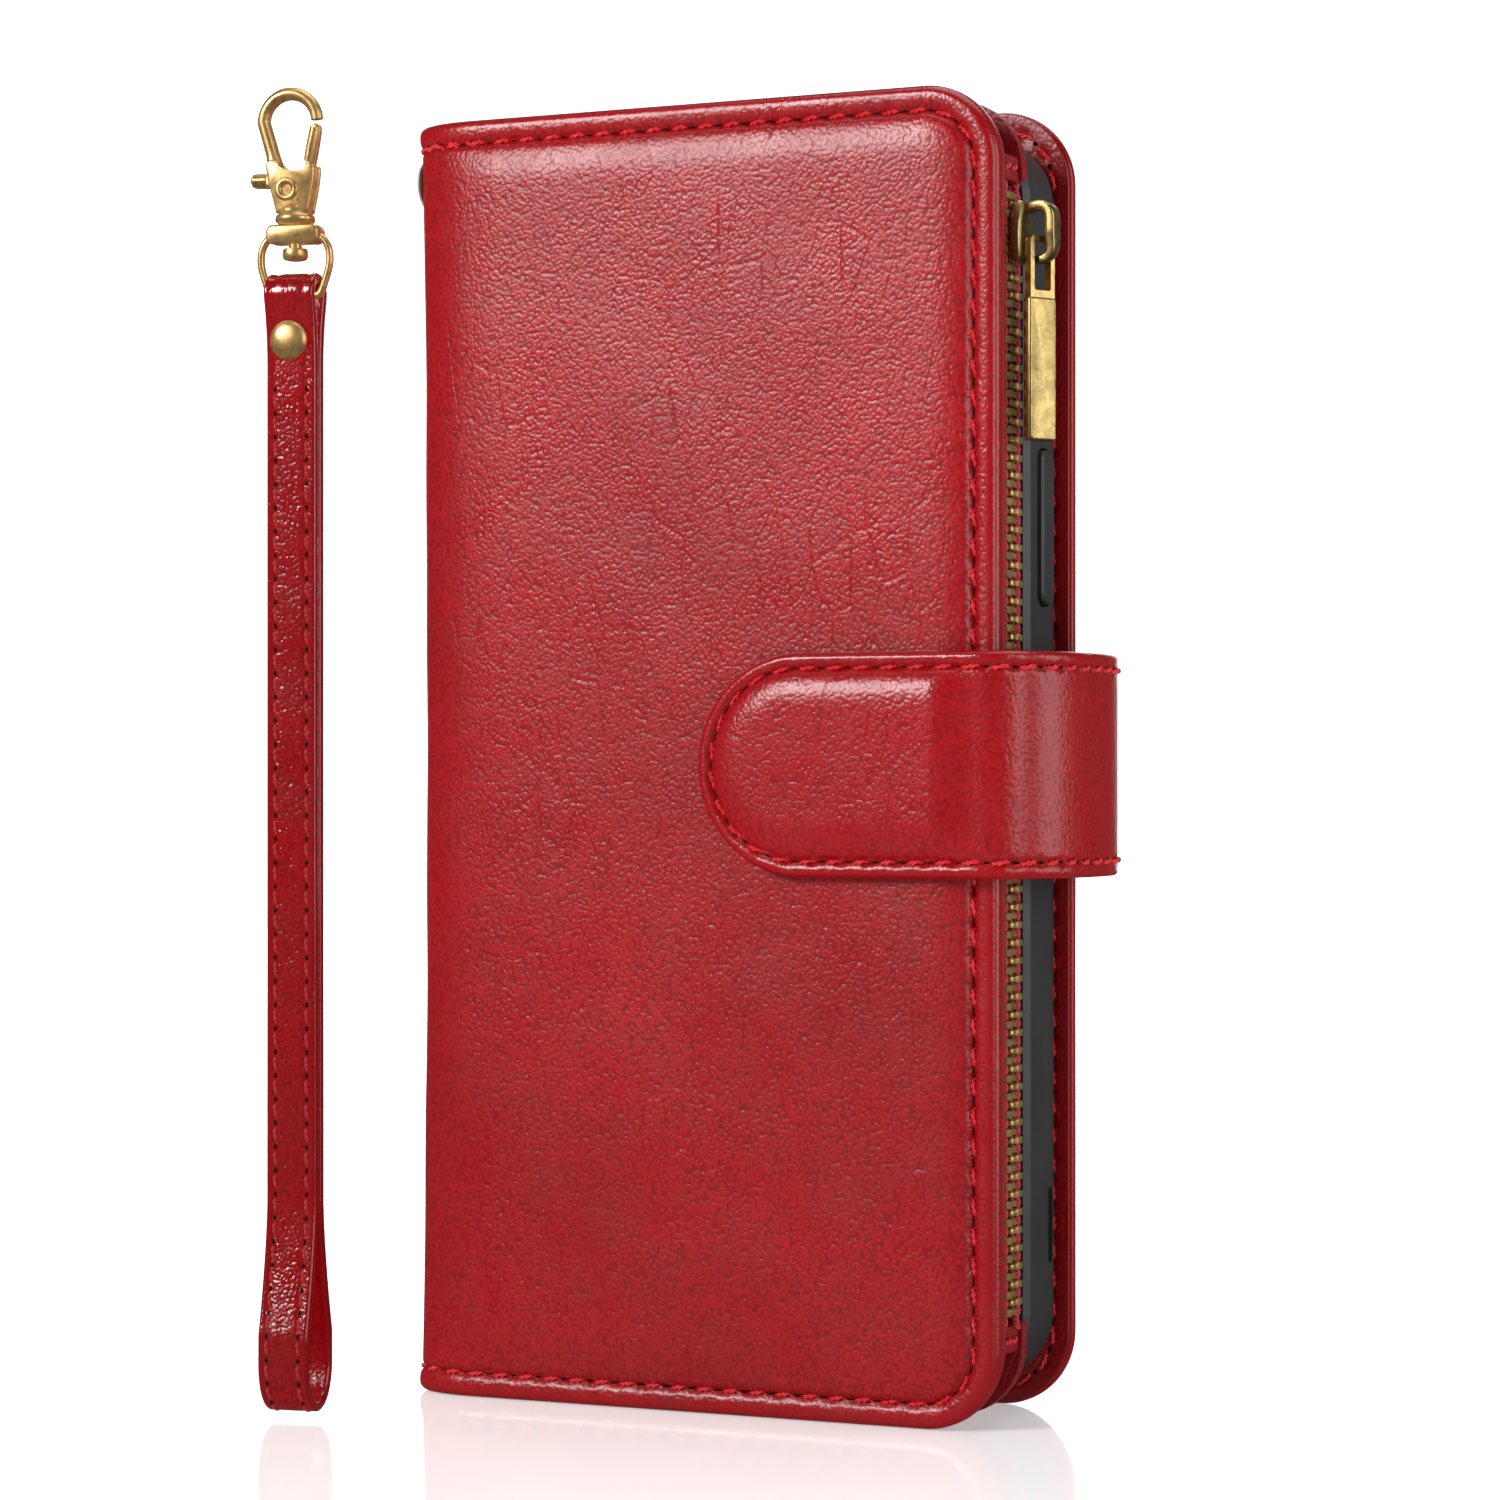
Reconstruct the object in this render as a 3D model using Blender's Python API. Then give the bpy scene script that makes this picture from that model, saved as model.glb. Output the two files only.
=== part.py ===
"""Phone wallet case with a zipped side pocket, a magnetic closing flap and a wrist strap.

Millimetres in the constants, metres in the scene.  +X is the opening edge, -Y the front
cover, +Z up.  The origin is the middle of the back cover's bottom edge, on the floor.
"""

from math import cos, hypot, pi, radians, sin

import bmesh
import bpy
from mathutils import Matrix, Vector

MM = 0.001

# Overall sizes of the closed case
HEIGHT = 158.0
WIDTH = 78.0
CORNER = 9.5  # radius of the two corners at the opening edge
SPINE_CORNER = 1.0
RIGHT = WIDTH / 2
LEFT = -WIDTH / 2
GAP = 0.3  # clearance between pieces that lie on each other

# Layers, as positions along Y, from the back cover's outer face to the front cover's crown
BACK_OUT = 1.2
BACK_WALL = -0.5
BACK_BOARD = (-0.4, 0.2)
BACK_LINING = (-1.2, -0.8)
BACK_SKIN = 0.7
PAD = (-1.75, -1.45)
SHELL_BACK = -2.0
SHELL_FRONT = -11.4
PANEL = (-15.1, -13.5)
LINING = (-21.5, -20.6)
FRONT_WALL = -21.8
FRONT_BOARD = (-22.8, -22.0)
FRONT_FOAM = (-23.9, -23.1)
FRONT_RIM = -24.2
FRONT_CROWN = -24.8
FRONT_SKIN = 0.6
WALL = 1.0  # width of the leather turned round a cover's edge

# Spine and the two fold lines
SPINE_X = (-40.3, -39.3)
SPINE_LINING_X = (-38.7, -38.2)
SPINE_Y = (-22.3, -1.0)
FOLD_X = -39.1
BACK_FOLD_Y = 0.0
FRONT_FOLD_Y = -23.4
EYELET = (-18.4, 151.0)  # Y and Z of the strap eyelet's centre

# Phone shell
SHELL_WIDTH = 75.0
SHELL_HEIGHT = 151.4
SHELL_BOTTOM = 3.2
SHELL_CORNER = 9.0
SHELL_WALL = 1.5
SHELL_FLOOR = 1.2
SHELL_LIP = 0.7
CAMERA_X = (3.0, 32.0)
CAMERA_Z = (116.0, 148.0)
BUTTON_Y = -6.0
BUTTON_WIDTH = 3.6
POWER_Z = (97.4, 116.0)
VOLUME_UP_Z = (112.0, 121.5)
VOLUME_DOWN_Z = (98.0, 107.5)
BUTTON_PROUD = 0.7
BUTTON_GAP = 0.25
LANYARD_Y = (-4.6, -3.2)  # recess in the shell's side with two holes for a cord
LANYARD_Z = (18.0, 27.2)
LANYARD_HOLES = (20.1, 25.1)

# Rear wall of the pocket, notched along the zip, and the card slots on it
PANEL_NOTCH_X = 36.6
PANEL_NOTCH_Z = (12.0, 147.5)
CARD_SLOTS = (
    ("card_slot_upper", 44.0, 118.0),
    ("card_slot_middle", 30.0, 102.0),
    ("card_slot_lower", 14.0, 86.0),
)

# Zip: a chain of teeth in the side of the pocket
ZIP_Y = (LINING[1] + PANEL[0]) / 2
TOOTH_PITCH = 2.12
TOOTH_HEIGHT = 0.86
TOOTH_REACH = 0.9  # how far a tooth passes the middle of the chain
CHAIN_HALF = 2.5
CHAIN_X = (36.9, 38.7)
CHAIN_Z = (13.2, 145.4)
TAPE = 0.4
TAPE_EDGE = 0.6  # each tape stops this far from the middle of the chain
TAPE_X = 24.0
SLIDER_Z = (137.6, 144.4)
BAIL_REACH = 5.0  # beyond the cover's edge
BAIL_THICK = 0.55  # half the bail's thickness
PULLER_OUT = 2.8  # from the cover's edge to the puller's middle
PULLER_Z = (116.2, 140.2)
PULLER_HALF = (0.5, 1.9)  # half its thickness and half its width
PULLER_WINDOW = (1.3, 5.8)  # half its width, and its height
PULLER_BAR = 0.6
PULLER_TURN = -25.0

# Flap
FLAP_Z = (64.8, 91.4)
FLAP_BASE_X = (11.0, 40.6)
FLAP_BASE_Y = (1.5, 3.1)
FLAP_BULGE = 46.2  # outer face of the loop, along X
FLAP_ROUND = 0.8  # power that shapes the loop: 1 is an ellipse, less is squarer
FLAP_STEPS = 20
FLAP_LEATHER = 1.0
FLAP_LINING = 0.6
FLAP_TIP_X = 1.4
FLAP_SEAT_Y = -25.1
FLAP_EDGE_Y = -27.3
FLAP_CROWN_Y = -29.2
FLAP_TURN_X = 39.6  # where the tip ends and the loop begins
FLAP_MIDDLE = sum(FLAP_Z) / 2
MAGNET_X = 16.0
MAGNET_RADIUS = 4.0

# Strap, modelled about its own vertical axis and then turned to face the front
STRAP_PLACE = (-42.0, -47.9)
STRAP_YAW = 10.0
STRAP_WIDTH = 6.3
STRAP_LEATHER = 1.3
STRAP_LEVELS = (134.1, 132.5, 130.8, 128.8, 126.0, 100.0, 75.0, 50.0, 26.0, 22.0, 18.0, 14.0, 10.0, 6.5)
HAND_DEPTH = 4.4  # from the lowest level to the bottom of the hand loop's inner face
RIVET_Z = 128.8
BAR_Z = 134.3
RING_WIRE = 0.42
PIVOT = (-0.5, 146.9)

RED = (0.33, 0.012, 0.018)
DARK_RED = (0.16, 0.006, 0.010)
TAPE_RED = (0.42, 0.02, 0.03)
BRASS = (0.46, 0.32, 0.13)
STEEL = (0.5, 0.5, 0.5)
NICKEL = (0.5, 0.5, 0.48)
RUBBER_BLACK = (0.02, 0.021, 0.022)
BOARD_GREY = (0.35, 0.32, 0.28)
FOAM_WHITE = (0.6, 0.6, 0.58)


def clear_scene():
    for obj in list(bpy.data.objects):
        bpy.data.objects.remove(obj)


def material(name, colour, roughness, metallic=0.0):
    made = bpy.data.materials.get(name)
    if made:
        return made
    made = bpy.data.materials.new(name)
    made.use_nodes = True
    shader = made.node_tree.nodes["Principled BSDF"]
    shader.inputs["Base Color"].default_value = (*colour, 1.0)
    shader.inputs["Roughness"].default_value = roughness
    shader.inputs["Metallic"].default_value = metallic
    return made


def leather():
    return material("red_leather", RED, 0.38)


def lining():
    return material("dark_red_lining", DARK_RED, 0.55)


def brass():
    return material("antique_brass", BRASS, 0.35, 1.0)


def card():
    return material("grey_board", BOARD_GREY, 0.9)


def foam():
    return material("foam", FOAM_WHITE, 0.9)


def tape():
    return material("red_tape", TAPE_RED, 0.8)


def steel():
    return material("steel", STEEL, 0.4, 1.0)


def nickel():
    return material("nickel", NICKEL, 0.3, 1.0)


def rubber():
    return material("black_rubber", RUBBER_BLACK, 0.55)


def add(name, mesh, finish, centre=(0, 0, 0)):
    """An object holding the bmesh, with its origin at centre; the bmesh is in millimetres."""
    bmesh.ops.recalc_face_normals(mesh, faces=mesh.faces)
    bmesh.ops.translate(mesh, verts=mesh.verts, vec=-Vector(centre))
    bmesh.ops.scale(mesh, verts=mesh.verts, vec=(MM, MM, MM))
    data = bpy.data.meshes.new(name)
    mesh.to_mesh(data)
    mesh.free()
    obj = bpy.data.objects.new(name, data)
    bpy.context.scene.collection.objects.link(obj)
    obj.location = Vector(centre) * MM
    data.materials.append(finish)
    data.shade_smooth()
    data.set_sharp_from_angle(angle=radians(35))
    return obj


def loft(rings, closed=False):
    """A closed body over rings of equal length: capped at both ends, or joined end to end."""
    mesh = bmesh.new()
    made = [[mesh.verts.new(point) for point in ring] for ring in rings]
    pairs = list(zip(made, made[1:] + made[:1])) if closed else list(zip(made, made[1:]))
    for low, high in pairs:
        for i in range(len(low)):
            j = (i + 1) % len(low)
            mesh.faces.new((low[i], low[j], high[j], high[i]))
    if not closed:
        mesh.faces.new(made[0])
        mesh.faces.new(made[-1])
    return mesh


def across(path, index):
    """The unit normal, in the path's plane, at one of its points."""
    before, after = path[max(index - 1, 0)], path[min(index + 1, len(path) - 1)]
    along = Vector((after[0] - before[0], after[1] - before[1])).normalized()
    return Vector((-along.y, along.x))


def wire(path, radii, sides=10):
    """A round wire along a path in X and Z; radii are in the path's plane and along Y."""
    rings = []
    for index, (x, z) in enumerate(path):
        side = across(path, index) * radii[0]
        turns = [2 * pi * step / sides for step in range(sides)]
        rings.append([(x + side.x * cos(a), radii[1] * sin(a), z + side.y * cos(a)) for a in turns])
    return loft(rings)


def xz(outline, y):
    return [(x, y, z) for x, z in outline]


def yz(outline, x):
    return [(x, y, z) for y, z in outline]


def xy(outline, z):
    return [(x, y, z) for x, y in outline]


def arc(centre, radius, start, end, steps):
    """Points round a centre, from one angle to another in degrees."""
    turns = [radians(start + (end - start) * i / steps) for i in range(steps + 1)]
    return [(centre[0] + radius * cos(a), centre[1] + radius * sin(a)) for a in turns]


def rounded(u, v, radii, steps=8):
    """A rectangle's outline from its ranges and four corner radii, from low u, low v round."""
    (u0, u1), (v0, v1) = u, v
    corners = (
        ((u0, v0), (1, 1), 180),
        ((u1, v0), (-1, 1), 270),
        ((u1, v1), (-1, -1), 0),
        ((u0, v1), (1, -1), 90),
    )
    points = []
    for ((cu, cv), (du, dv), start), radius in zip(corners, radii):
        centre = (cu + du * radius, cv + dv * radius)
        points += arc(centre, radius, start, start + 90, steps)
    return points


def cover(inset=0.0, left=0.0):
    """A cover's outline in X and Z, drawn in from its edge, and from the spine by left."""
    tight = max(SPINE_CORNER - inset, 0.4)
    wide = max(CORNER - inset, 2.0)
    span = (LEFT + left + inset, RIGHT - inset)
    return rounded(span, (inset, HEIGHT - inset), (tight, wide, wide, tight))


def box(x, y, z):
    return loft([xy(rounded(x, y, (0.01,) * 4, 1), level) for level in z])


def slab(x, y, z, radius, steps=4):
    """A block with its upright edges along Y rounded."""
    return loft([xz(rounded(x, z, (radius,) * 4, steps), depth) for depth in y])


def slab_x(x, y, z, radius, steps=3):
    """A block with its edges along X rounded."""
    return loft([yz(rounded(y, z, (radius,) * 4, steps), level) for level in x])


def turned(centre, profile, axis, sides=24):
    """A solid of revolution: profile is (radius, distance along axis) from end to end."""
    turn = Vector((0, 0, 1)).rotation_difference(Vector(axis))
    rings = []
    for radius, along in profile:
        ring = [Vector((*point, along)) for point in arc((0, 0), radius, 0, 360, sides)[:-1]]
        rings.append([tuple(turn @ point + Vector(centre)) for point in ring])
    return loft(rings)


def rod(centre, radius, length, axis, sides=24):
    """A round bar from centre along axis."""
    return turned(centre, [(radius, 0), (radius, length)], axis, sides)


def spun(profile, place, sides):
    """A ring: a closed profile of (radius, depth) carried round; place turns a point into X, Y, Z."""
    turns = [2 * pi * step / sides for step in range(sides)]
    return loft([[place(r * cos(a), r * sin(a), d) for r, d in profile] for a in turns], closed=True)


def cut(obj, cutter_mesh, operation="DIFFERENCE"):
    """Applies a Boolean with a bmesh in millimetres, and removes the cutter."""
    tool = add("cutter", cutter_mesh, obj.data.materials[0])
    modifier = obj.modifiers.new("cut", "BOOLEAN")
    modifier.operation = operation
    modifier.solver = "EXACT"
    modifier.object = tool
    bpy.context.view_layer.update()
    graph = bpy.context.evaluated_depsgraph_get()
    made = bpy.data.meshes.new_from_object(obj.evaluated_get(graph))
    obj.modifiers.remove(modifier)
    made.name = obj.name
    obj.data = made
    bpy.data.objects.remove(tool)


def join(obj, mesh):
    cut(obj, mesh, "UNION")


def parented(children, name, centre):
    """An empty on the joint's axis that carries the given objects."""
    carrier = bpy.data.objects.new(name, None)
    carrier.empty_display_size = 0.01
    carrier.location = Vector(centre) * MM
    bpy.context.scene.collection.objects.link(carrier)
    bpy.context.view_layer.update()
    for child in children:
        child.parent = carrier
        child.matrix_parent_inverse = carrier.matrix_world.inverted()
    return carrier


# ---------------------------------------------------------------- back cover and phone shell


def camera_hole(margin, y):
    x = (CAMERA_X[0] - margin, CAMERA_X[1] + margin)
    z = (CAMERA_Z[0] - margin, CAMERA_Z[1] + margin)
    return slab(x, y, z, 7.0 + margin, 6)


def back_cover():
    """Outer leather turned round the edge, a stiff board and a lining, all with the camera hole."""
    skin_in = BACK_OUT - BACK_SKIN
    rings = [
        xz(cover(0.5), BACK_OUT),
        xz(cover(), BACK_OUT - 0.5),
        xz(cover(), BACK_WALL),
        xz(cover(WALL), BACK_WALL),
        xz(cover(WALL), skin_in),
    ]
    outer = add("back_cover_leather", loft(rings), leather())
    board = add("back_cover_board", loft([xz(cover(WALL + GAP), y) for y in BACK_BOARD]), card())
    inner = add("back_cover_lining", loft([xz(cover(0.2), y) for y in BACK_LINING]), lining())
    cut(outer, camera_hole(1.5, (-3.0, 4.0)))
    cut(board, camera_hole(2.5, (-3.0, 4.0)))
    cut(inner, camera_hole(1.5, (-3.0, 4.0)))
    pad = add("shell_adhesive_pad", slab((-30.0, 30.0), PAD, (18.0, 108.0), 4.0), card())
    return [outer, board, inner, pad]


def shell_outline(inset=0.0):
    half = SHELL_WIDTH / 2 - inset
    low = SHELL_BOTTOM + inset
    high = SHELL_BOTTOM + SHELL_HEIGHT - inset
    return rounded((-half, half), (low, high), (SHELL_CORNER - inset,) * 4, 10)


def phone_shell():
    """A rubber tray that holds the phone, its lip turned in over the glass."""
    rings = [
        xz(shell_outline(0.8), SHELL_BACK),
        xz(shell_outline(0.15), SHELL_BACK - 0.5),
        xz(shell_outline(), SHELL_BACK - 1.6),
        xz(shell_outline(), SHELL_FRONT + 1.2),
        xz(shell_outline(0.5), SHELL_FRONT),
        xz(shell_outline(SHELL_WALL + SHELL_LIP), SHELL_FRONT),
        xz(shell_outline(SHELL_WALL + SHELL_LIP), SHELL_FRONT + 0.7),
        xz(shell_outline(SHELL_WALL), SHELL_FRONT + 1.2),
        xz(shell_outline(SHELL_WALL), SHELL_BACK - SHELL_FLOOR - 0.6),
        xz(shell_outline(SHELL_WALL + 0.6), SHELL_BACK - SHELL_FLOOR),
    ]
    shell = add("phone_shell", loft(rings), rubber())
    cut(shell, camera_hole(0.0, (-4.5, 0.0)))
    port_y = (BUTTON_Y - 2.0, BUTTON_Y + 2.0)
    port = loft([xy(rounded((-7.0, 7.0), port_y, (1.9,) * 4, 4), z) for z in (0.0, 6.0)])
    cut(shell, port)
    for side in (-1, 1):
        x = side * 18.0
        slot = rounded((x - 7, x + 7), (BUTTON_Y - 0.8, BUTTON_Y + 0.8), (0.7,) * 4, 3)
        cut(shell, loft([xy(slot, z) for z in (0.0, 6.0)]))
    half = SHELL_WIDTH / 2
    y = (BUTTON_Y - BUTTON_WIDTH / 2 - BUTTON_GAP, BUTTON_Y + BUTTON_WIDTH / 2 + BUTTON_GAP)
    for z_range, side in ((POWER_Z, 1), (VOLUME_UP_Z, -1), (VOLUME_DOWN_Z, -1)):
        z = (z_range[0] - BUTTON_GAP, z_range[1] + BUTTON_GAP)
        x = sorted((side * (half - 3.0), side * (half + 2.0)))
        cut(shell, slab_x(x, y, z, 1.5, 4))
    cut(shell, slab_x((half - 0.5, half + 2.0), LANYARD_Y, LANYARD_Z, 0.65))
    hole_y = (LANYARD_Y[0] + 0.2, LANYARD_Y[1] - 0.2)
    for z in LANYARD_HOLES:
        cut(shell, slab_x((half - 3.0, half + 2.0), hole_y, (z - 1.15, z + 1.15), 0.45))
    return shell


def shell_button(name, z_range, side):
    """A raised key in the shell's wall, with a flange behind the wall that keeps it in."""
    half = SHELL_WIDTH / 2
    y = (BUTTON_Y - BUTTON_WIDTH / 2, BUTTON_Y + BUTTON_WIDTH / 2)
    stem = rounded(y, z_range, (1.3,) * 4, 4)
    top = rounded((y[0] + 0.3, y[1] - 0.3), (z_range[0] + 0.3, z_range[1] - 0.3), (1.0,) * 4, 4)
    levels = ((half - 1.3, stem), (half + BUTTON_PROUD - 0.3, stem), (half + BUTTON_PROUD, top))
    rings = [yz(outline, side * x) for x, outline in levels]
    return add(name, loft(rings), rubber(), (side * half, BUTTON_Y, sum(z_range) / 2))


# ---------------------------------------------------------------- spine


def spine():
    """The leather strip between the covers, its lining, and the metal strap eyelet."""
    rounding = rounded(SPINE_Y, (0.0, HEIGHT), (0.8,) * 4, 3)
    inside = rounded((SPINE_Y[0] + 1.0, SPINE_Y[1] - 0.8), (0.8, HEIGHT - 0.8), (0.6,) * 4, 2)
    strip = add("spine_leather", loft([yz(rounding, x) for x in SPINE_X]), leather())
    inner = add("spine_lining", loft([yz(inside, x) for x in SPINE_LINING_X]), lining())
    y, z = EYELET
    for obj in (strip, inner):
        cut(obj, rod((-42.0, y, z), 2.3, 5.0, (1, 0, 0)))
    ring = [
        (3.3, SPINE_X[0] - 0.3),
        (3.0, SPINE_X[0] - 0.8),
        (2.1, SPINE_X[0] - 0.8),
        (1.6, SPINE_X[0] - 0.3),
        (1.6, SPINE_LINING_X[1] + 0.2),
        (2.0, SPINE_LINING_X[1] + 0.2),
        (2.0, SPINE_X[0] - 0.3),
    ]
    eyelet = add("strap_eyelet", spun(ring, lambda u, v, x: (x, y + u, z + v), 28), nickel())
    return [strip, inner, eyelet]


# ---------------------------------------------------------------- front cover and pocket


def front_cover():
    """Padded leather tray over foam and board, closed behind by a leather lining."""
    skin = FRONT_SKIN
    rings = [
        xz(cover(6.5), FRONT_CROWN),
        xz(cover(4.2), FRONT_CROWN + 0.15),
        xz(cover(2.8), FRONT_RIM),
        xz(cover(0.8), FRONT_RIM),
        xz(cover(0.15), FRONT_RIM + 0.5),
        xz(cover(), FRONT_RIM + 1.0),
        xz(cover(), FRONT_WALL),
        xz(cover(WALL), FRONT_WALL),
        xz(cover(WALL), FRONT_RIM + skin),
        xz(cover(3.2), FRONT_RIM + skin),
        xz(cover(4.6), FRONT_CROWN + skin),
    ]
    outer = add("front_cover_leather", loft(rings), leather())
    pad = add("front_cover_foam", loft([xz(cover(5.0), y) for y in FRONT_FOAM]), foam())
    board = add("front_cover_board", loft([xz(cover(WALL + GAP), y) for y in FRONT_BOARD]), card())
    inner = add("front_cover_lining", loft([xz(cover(0.3, 1.2), y) for y in LINING]), leather())
    cut(board, rod((MAGNET_X, FRONT_BOARD[0] - 2.0, FLAP_MIDDLE), MAGNET_RADIUS + GAP, 5.0, (0, 1, 0)))
    disc = rod((MAGNET_X, FRONT_BOARD[0] - 0.1, FLAP_MIDDLE), MAGNET_RADIUS, 0.9, (0, 1, 0))
    plate = add("front_cover_magnet", disc, steel())
    return [outer, pad, board, inner, plate]


def pocket_panel():
    """The pocket's rear wall, with three card slots stepped down its rear face."""
    panel = add("pocket_panel", loft([xz(cover(0.6, 1.6), y) for y in PANEL]), leather())
    cut(panel, slab((PANEL_NOTCH_X, RIGHT + 2.0), (PANEL[0] - 1.0, PANEL[1] + 1.0), PANEL_NOTCH_Z, 1.5))
    made = [panel]
    for index, (name, low, high) in enumerate(CARD_SLOTS):
        front = PANEL[1] + GAP + 0.55 * index
        sheet = slab((-33.0, 33.0), (front, front + 0.3), (low, high), 2.5)
        made.append(add(name, sheet, lining()))
    return made


def gusset(name, low, high, inward):
    """A folded bellows closing the pocket's top or bottom: two plies that meet at an inner fold."""
    front, rear = LINING[1] + GAP, PANEL[0] - GAP
    ply = 0.5
    fold = (front + rear) / 2
    depth = 7.0 * inward
    edge = low if inward > 0 else high
    profile = [
        (front, edge),
        (front + ply, edge),
        (fold, edge + depth - ply * inward),
        (rear - ply, edge),
        (rear, edge),
        (rear, edge + 1.5 * inward),
        (fold + ply, edge + depth + ply * inward),
        (fold - ply, edge + depth + ply * inward),
        (front, edge + 1.5 * inward),
    ]
    return add(name, loft([yz(profile, x) for x in (-34.0, 27.0)]), lining())


def zip_row(name, side, offset):
    """One row of teeth on its cord: a comb whose teeth reach just past the chain's middle."""
    root = ZIP_Y + side * CHAIN_HALF
    neck = ZIP_Y + side * 1.7
    tip = ZIP_Y - side * TOOTH_REACH
    count = int((CHAIN_Z[1] - CHAIN_Z[0] - TOOTH_PITCH / 2) / TOOTH_PITCH)
    outline = [(root, CHAIN_Z[0] - 0.4), (neck, CHAIN_Z[0] - 0.4)]
    for index in range(count):
        low = CHAIN_Z[0] + offset + index * TOOTH_PITCH
        outline += [(neck, low), (tip, low), (tip, low + TOOTH_HEIGHT), (neck, low + TOOTH_HEIGHT)]
    outline += [(neck, CHAIN_Z[1]), (root, CHAIN_Z[1])]
    return add(name, loft([yz(outline, x) for x in CHAIN_X]), brass())


def zip_tape(name, side):
    """The woven tape behind one row: a narrow face to the side, turned in along the pocket wall."""
    wall = (LINING[1] + GAP) if side < 0 else (PANEL[0] - GAP)
    inner = wall - side * TAPE
    edge = ZIP_Y + side * TAPE_EDGE
    face = CHAIN_X[0] - GAP
    profile = [(TAPE_X, wall), (face, wall), (face, edge)]
    profile += [(face - TAPE, edge), (face - TAPE, inner), (TAPE_X, inner)]
    rings = [xy(profile, z) for z in (CHAIN_Z[0] - 0.8, CHAIN_Z[1] + 0.8)]
    return add(name, loft(rings), tape())


def zip_ends():
    """A leather tab across each end of the chain."""
    y = (LINING[1] + GAP, PANEL[0] - GAP)
    top = add("zip_tab_top", slab((30.0, 38.0), y, (147.0, 150.2), 0.5, 2), leather())
    low = add("zip_tab_bottom", slab((30.0, 38.0), y, (8.6, 11.9), 0.5, 2), leather())
    return [top, low]


def slider():
    """The slider: a faceted plate over the chain, and the bail that the puller hangs from."""
    low, high = SLIDER_Z
    middle = (low + high) / 2
    right_side = ((2.2, low), (2.45, middle), (1.5, high))
    left_side = [(-y, z) for y, z in right_side[::-1]]
    plate = [(ZIP_Y + y, z) for y, z in (*right_side, *left_side)]
    crown = [(ZIP_Y + (y - ZIP_Y) * 0.86, middle + (z - middle) * 0.9) for y, z in plate]
    face = CHAIN_X[1] + GAP
    rings = [yz(plate, face), yz(plate, face + 1.0), yz(crown, face + 1.25)]
    body = add("zip_slider", loft(rings), brass())
    foot, reach = face + 1.2, RIGHT + BAIL_REACH
    path = [(foot, high - 0.9), (reach - 1.6, high - 0.6), (reach - BAIL_THICK, high - 2.0)]
    path += [(reach - BAIL_THICK, low + 1.4), (reach - 1.6, low + 0.1), (foot, low + 0.9)]
    halves = (1.2, 1.2, 1.1, 0.7, 0.6, 0.6)
    rings = []
    for index, ((x, z), half) in enumerate(zip(path, halves)):
        side = across(path, index) * BAIL_THICK
        corners = ((half, 1), (-half, 1), (-half, -1), (half, -1))
        rings.append([(x + side.x * sign, ZIP_Y + y, z + side.y * sign) for y, sign in corners])
    join(body, loft(rings))
    return body


def puller():
    """The flat puller, turned on its bar: an open frame round the bail's lower leg, then a plate."""
    thick, wide = PULLER_HALF
    half_window, window = PULLER_WINDOW
    under_bar = PULLER_Z[1] - PULLER_BAR
    centre = (RIGHT + PULLER_OUT, ZIP_Y, PULLER_Z[1] - PULLER_BAR / 2)
    plate = slab_x((-thick, thick), (-wide, wide), PULLER_Z, 0.6)
    made = add("zip_puller", plate, brass(), (0, 0, centre[2]))
    cut(made, slab_x((-2.0, 2.0), (-half_window, half_window), (under_bar - window, under_bar), 0.3))
    made.location = Vector(centre) * MM
    made.rotation_euler = (0, 0, radians(PULLER_TURN))
    return made


# ---------------------------------------------------------------- magnetic flap


def flap_base():
    """The end of the flap sewn on the back cover."""
    outline = rounded(FLAP_BASE_X, FLAP_Z, (6.0, 0.3, 0.3, 6.0), 6)
    return add("flap_base", loft([xz(outline, y) for y in FLAP_BASE_Y]), leather())


def flap_path(offset):
    """The loop's section in X and Y, back to front, at an offset inside its outer face."""
    back, front = (FLAP_BASE_X[1] + GAP, FLAP_BASE_Y[1]), (FLAP_TURN_X + GAP, FLAP_EDGE_Y)
    middle, half = (back[1] + front[1]) / 2, (back[1] - front[1]) / 2
    path = []
    for step in range(FLAP_STEPS + 1):
        turn = pi / 2 - pi * step / FLAP_STEPS
        ends = back if turn > 0 else front
        out = max(cos(turn), 0.0) ** FLAP_ROUND
        side = abs(sin(turn)) ** FLAP_ROUND
        rise = half * side if turn > 0 else -half * side
        path.append((ends[0] + (FLAP_BULGE - ends[0]) * out, middle + rise))
    normals = [across(path, index) for index in range(len(path))]
    normals[0], normals[-1] = Vector((0.0, 1.0)), Vector((0.0, -1.0))
    return [(x - n.x * offset, y - n.y * offset) for (x, y), n in zip(path, normals)]


def flap_side():
    """The two plies of leather that pass round the opening edge."""
    made = []
    for name, near, far, finish in (
        ("flap_loop_leather", 0.0, FLAP_LEATHER - 0.15, leather()),
        ("flap_loop_lining", FLAP_LEATHER + 0.1, FLAP_LEATHER + FLAP_LINING, lining()),
    ):
        section = flap_path(near) + flap_path(far)[::-1]
        made.append(add(name, loft([xy(section, z) for z in FLAP_Z]), finish))
    return made


def flap_outline(inset):
    """The tip's outline: square at the loop, a half round at the free end."""
    low, high = FLAP_Z[0] + inset, FLAP_Z[1] - inset
    radius = (high - low) / 2
    end = (FLAP_TIP_X + inset + radius, (low + high) / 2)
    straight = [(FLAP_TURN_X - inset, low), (FLAP_TURN_X - inset, high)]
    return straight + arc(end, radius, 90, 270, 20)


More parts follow.
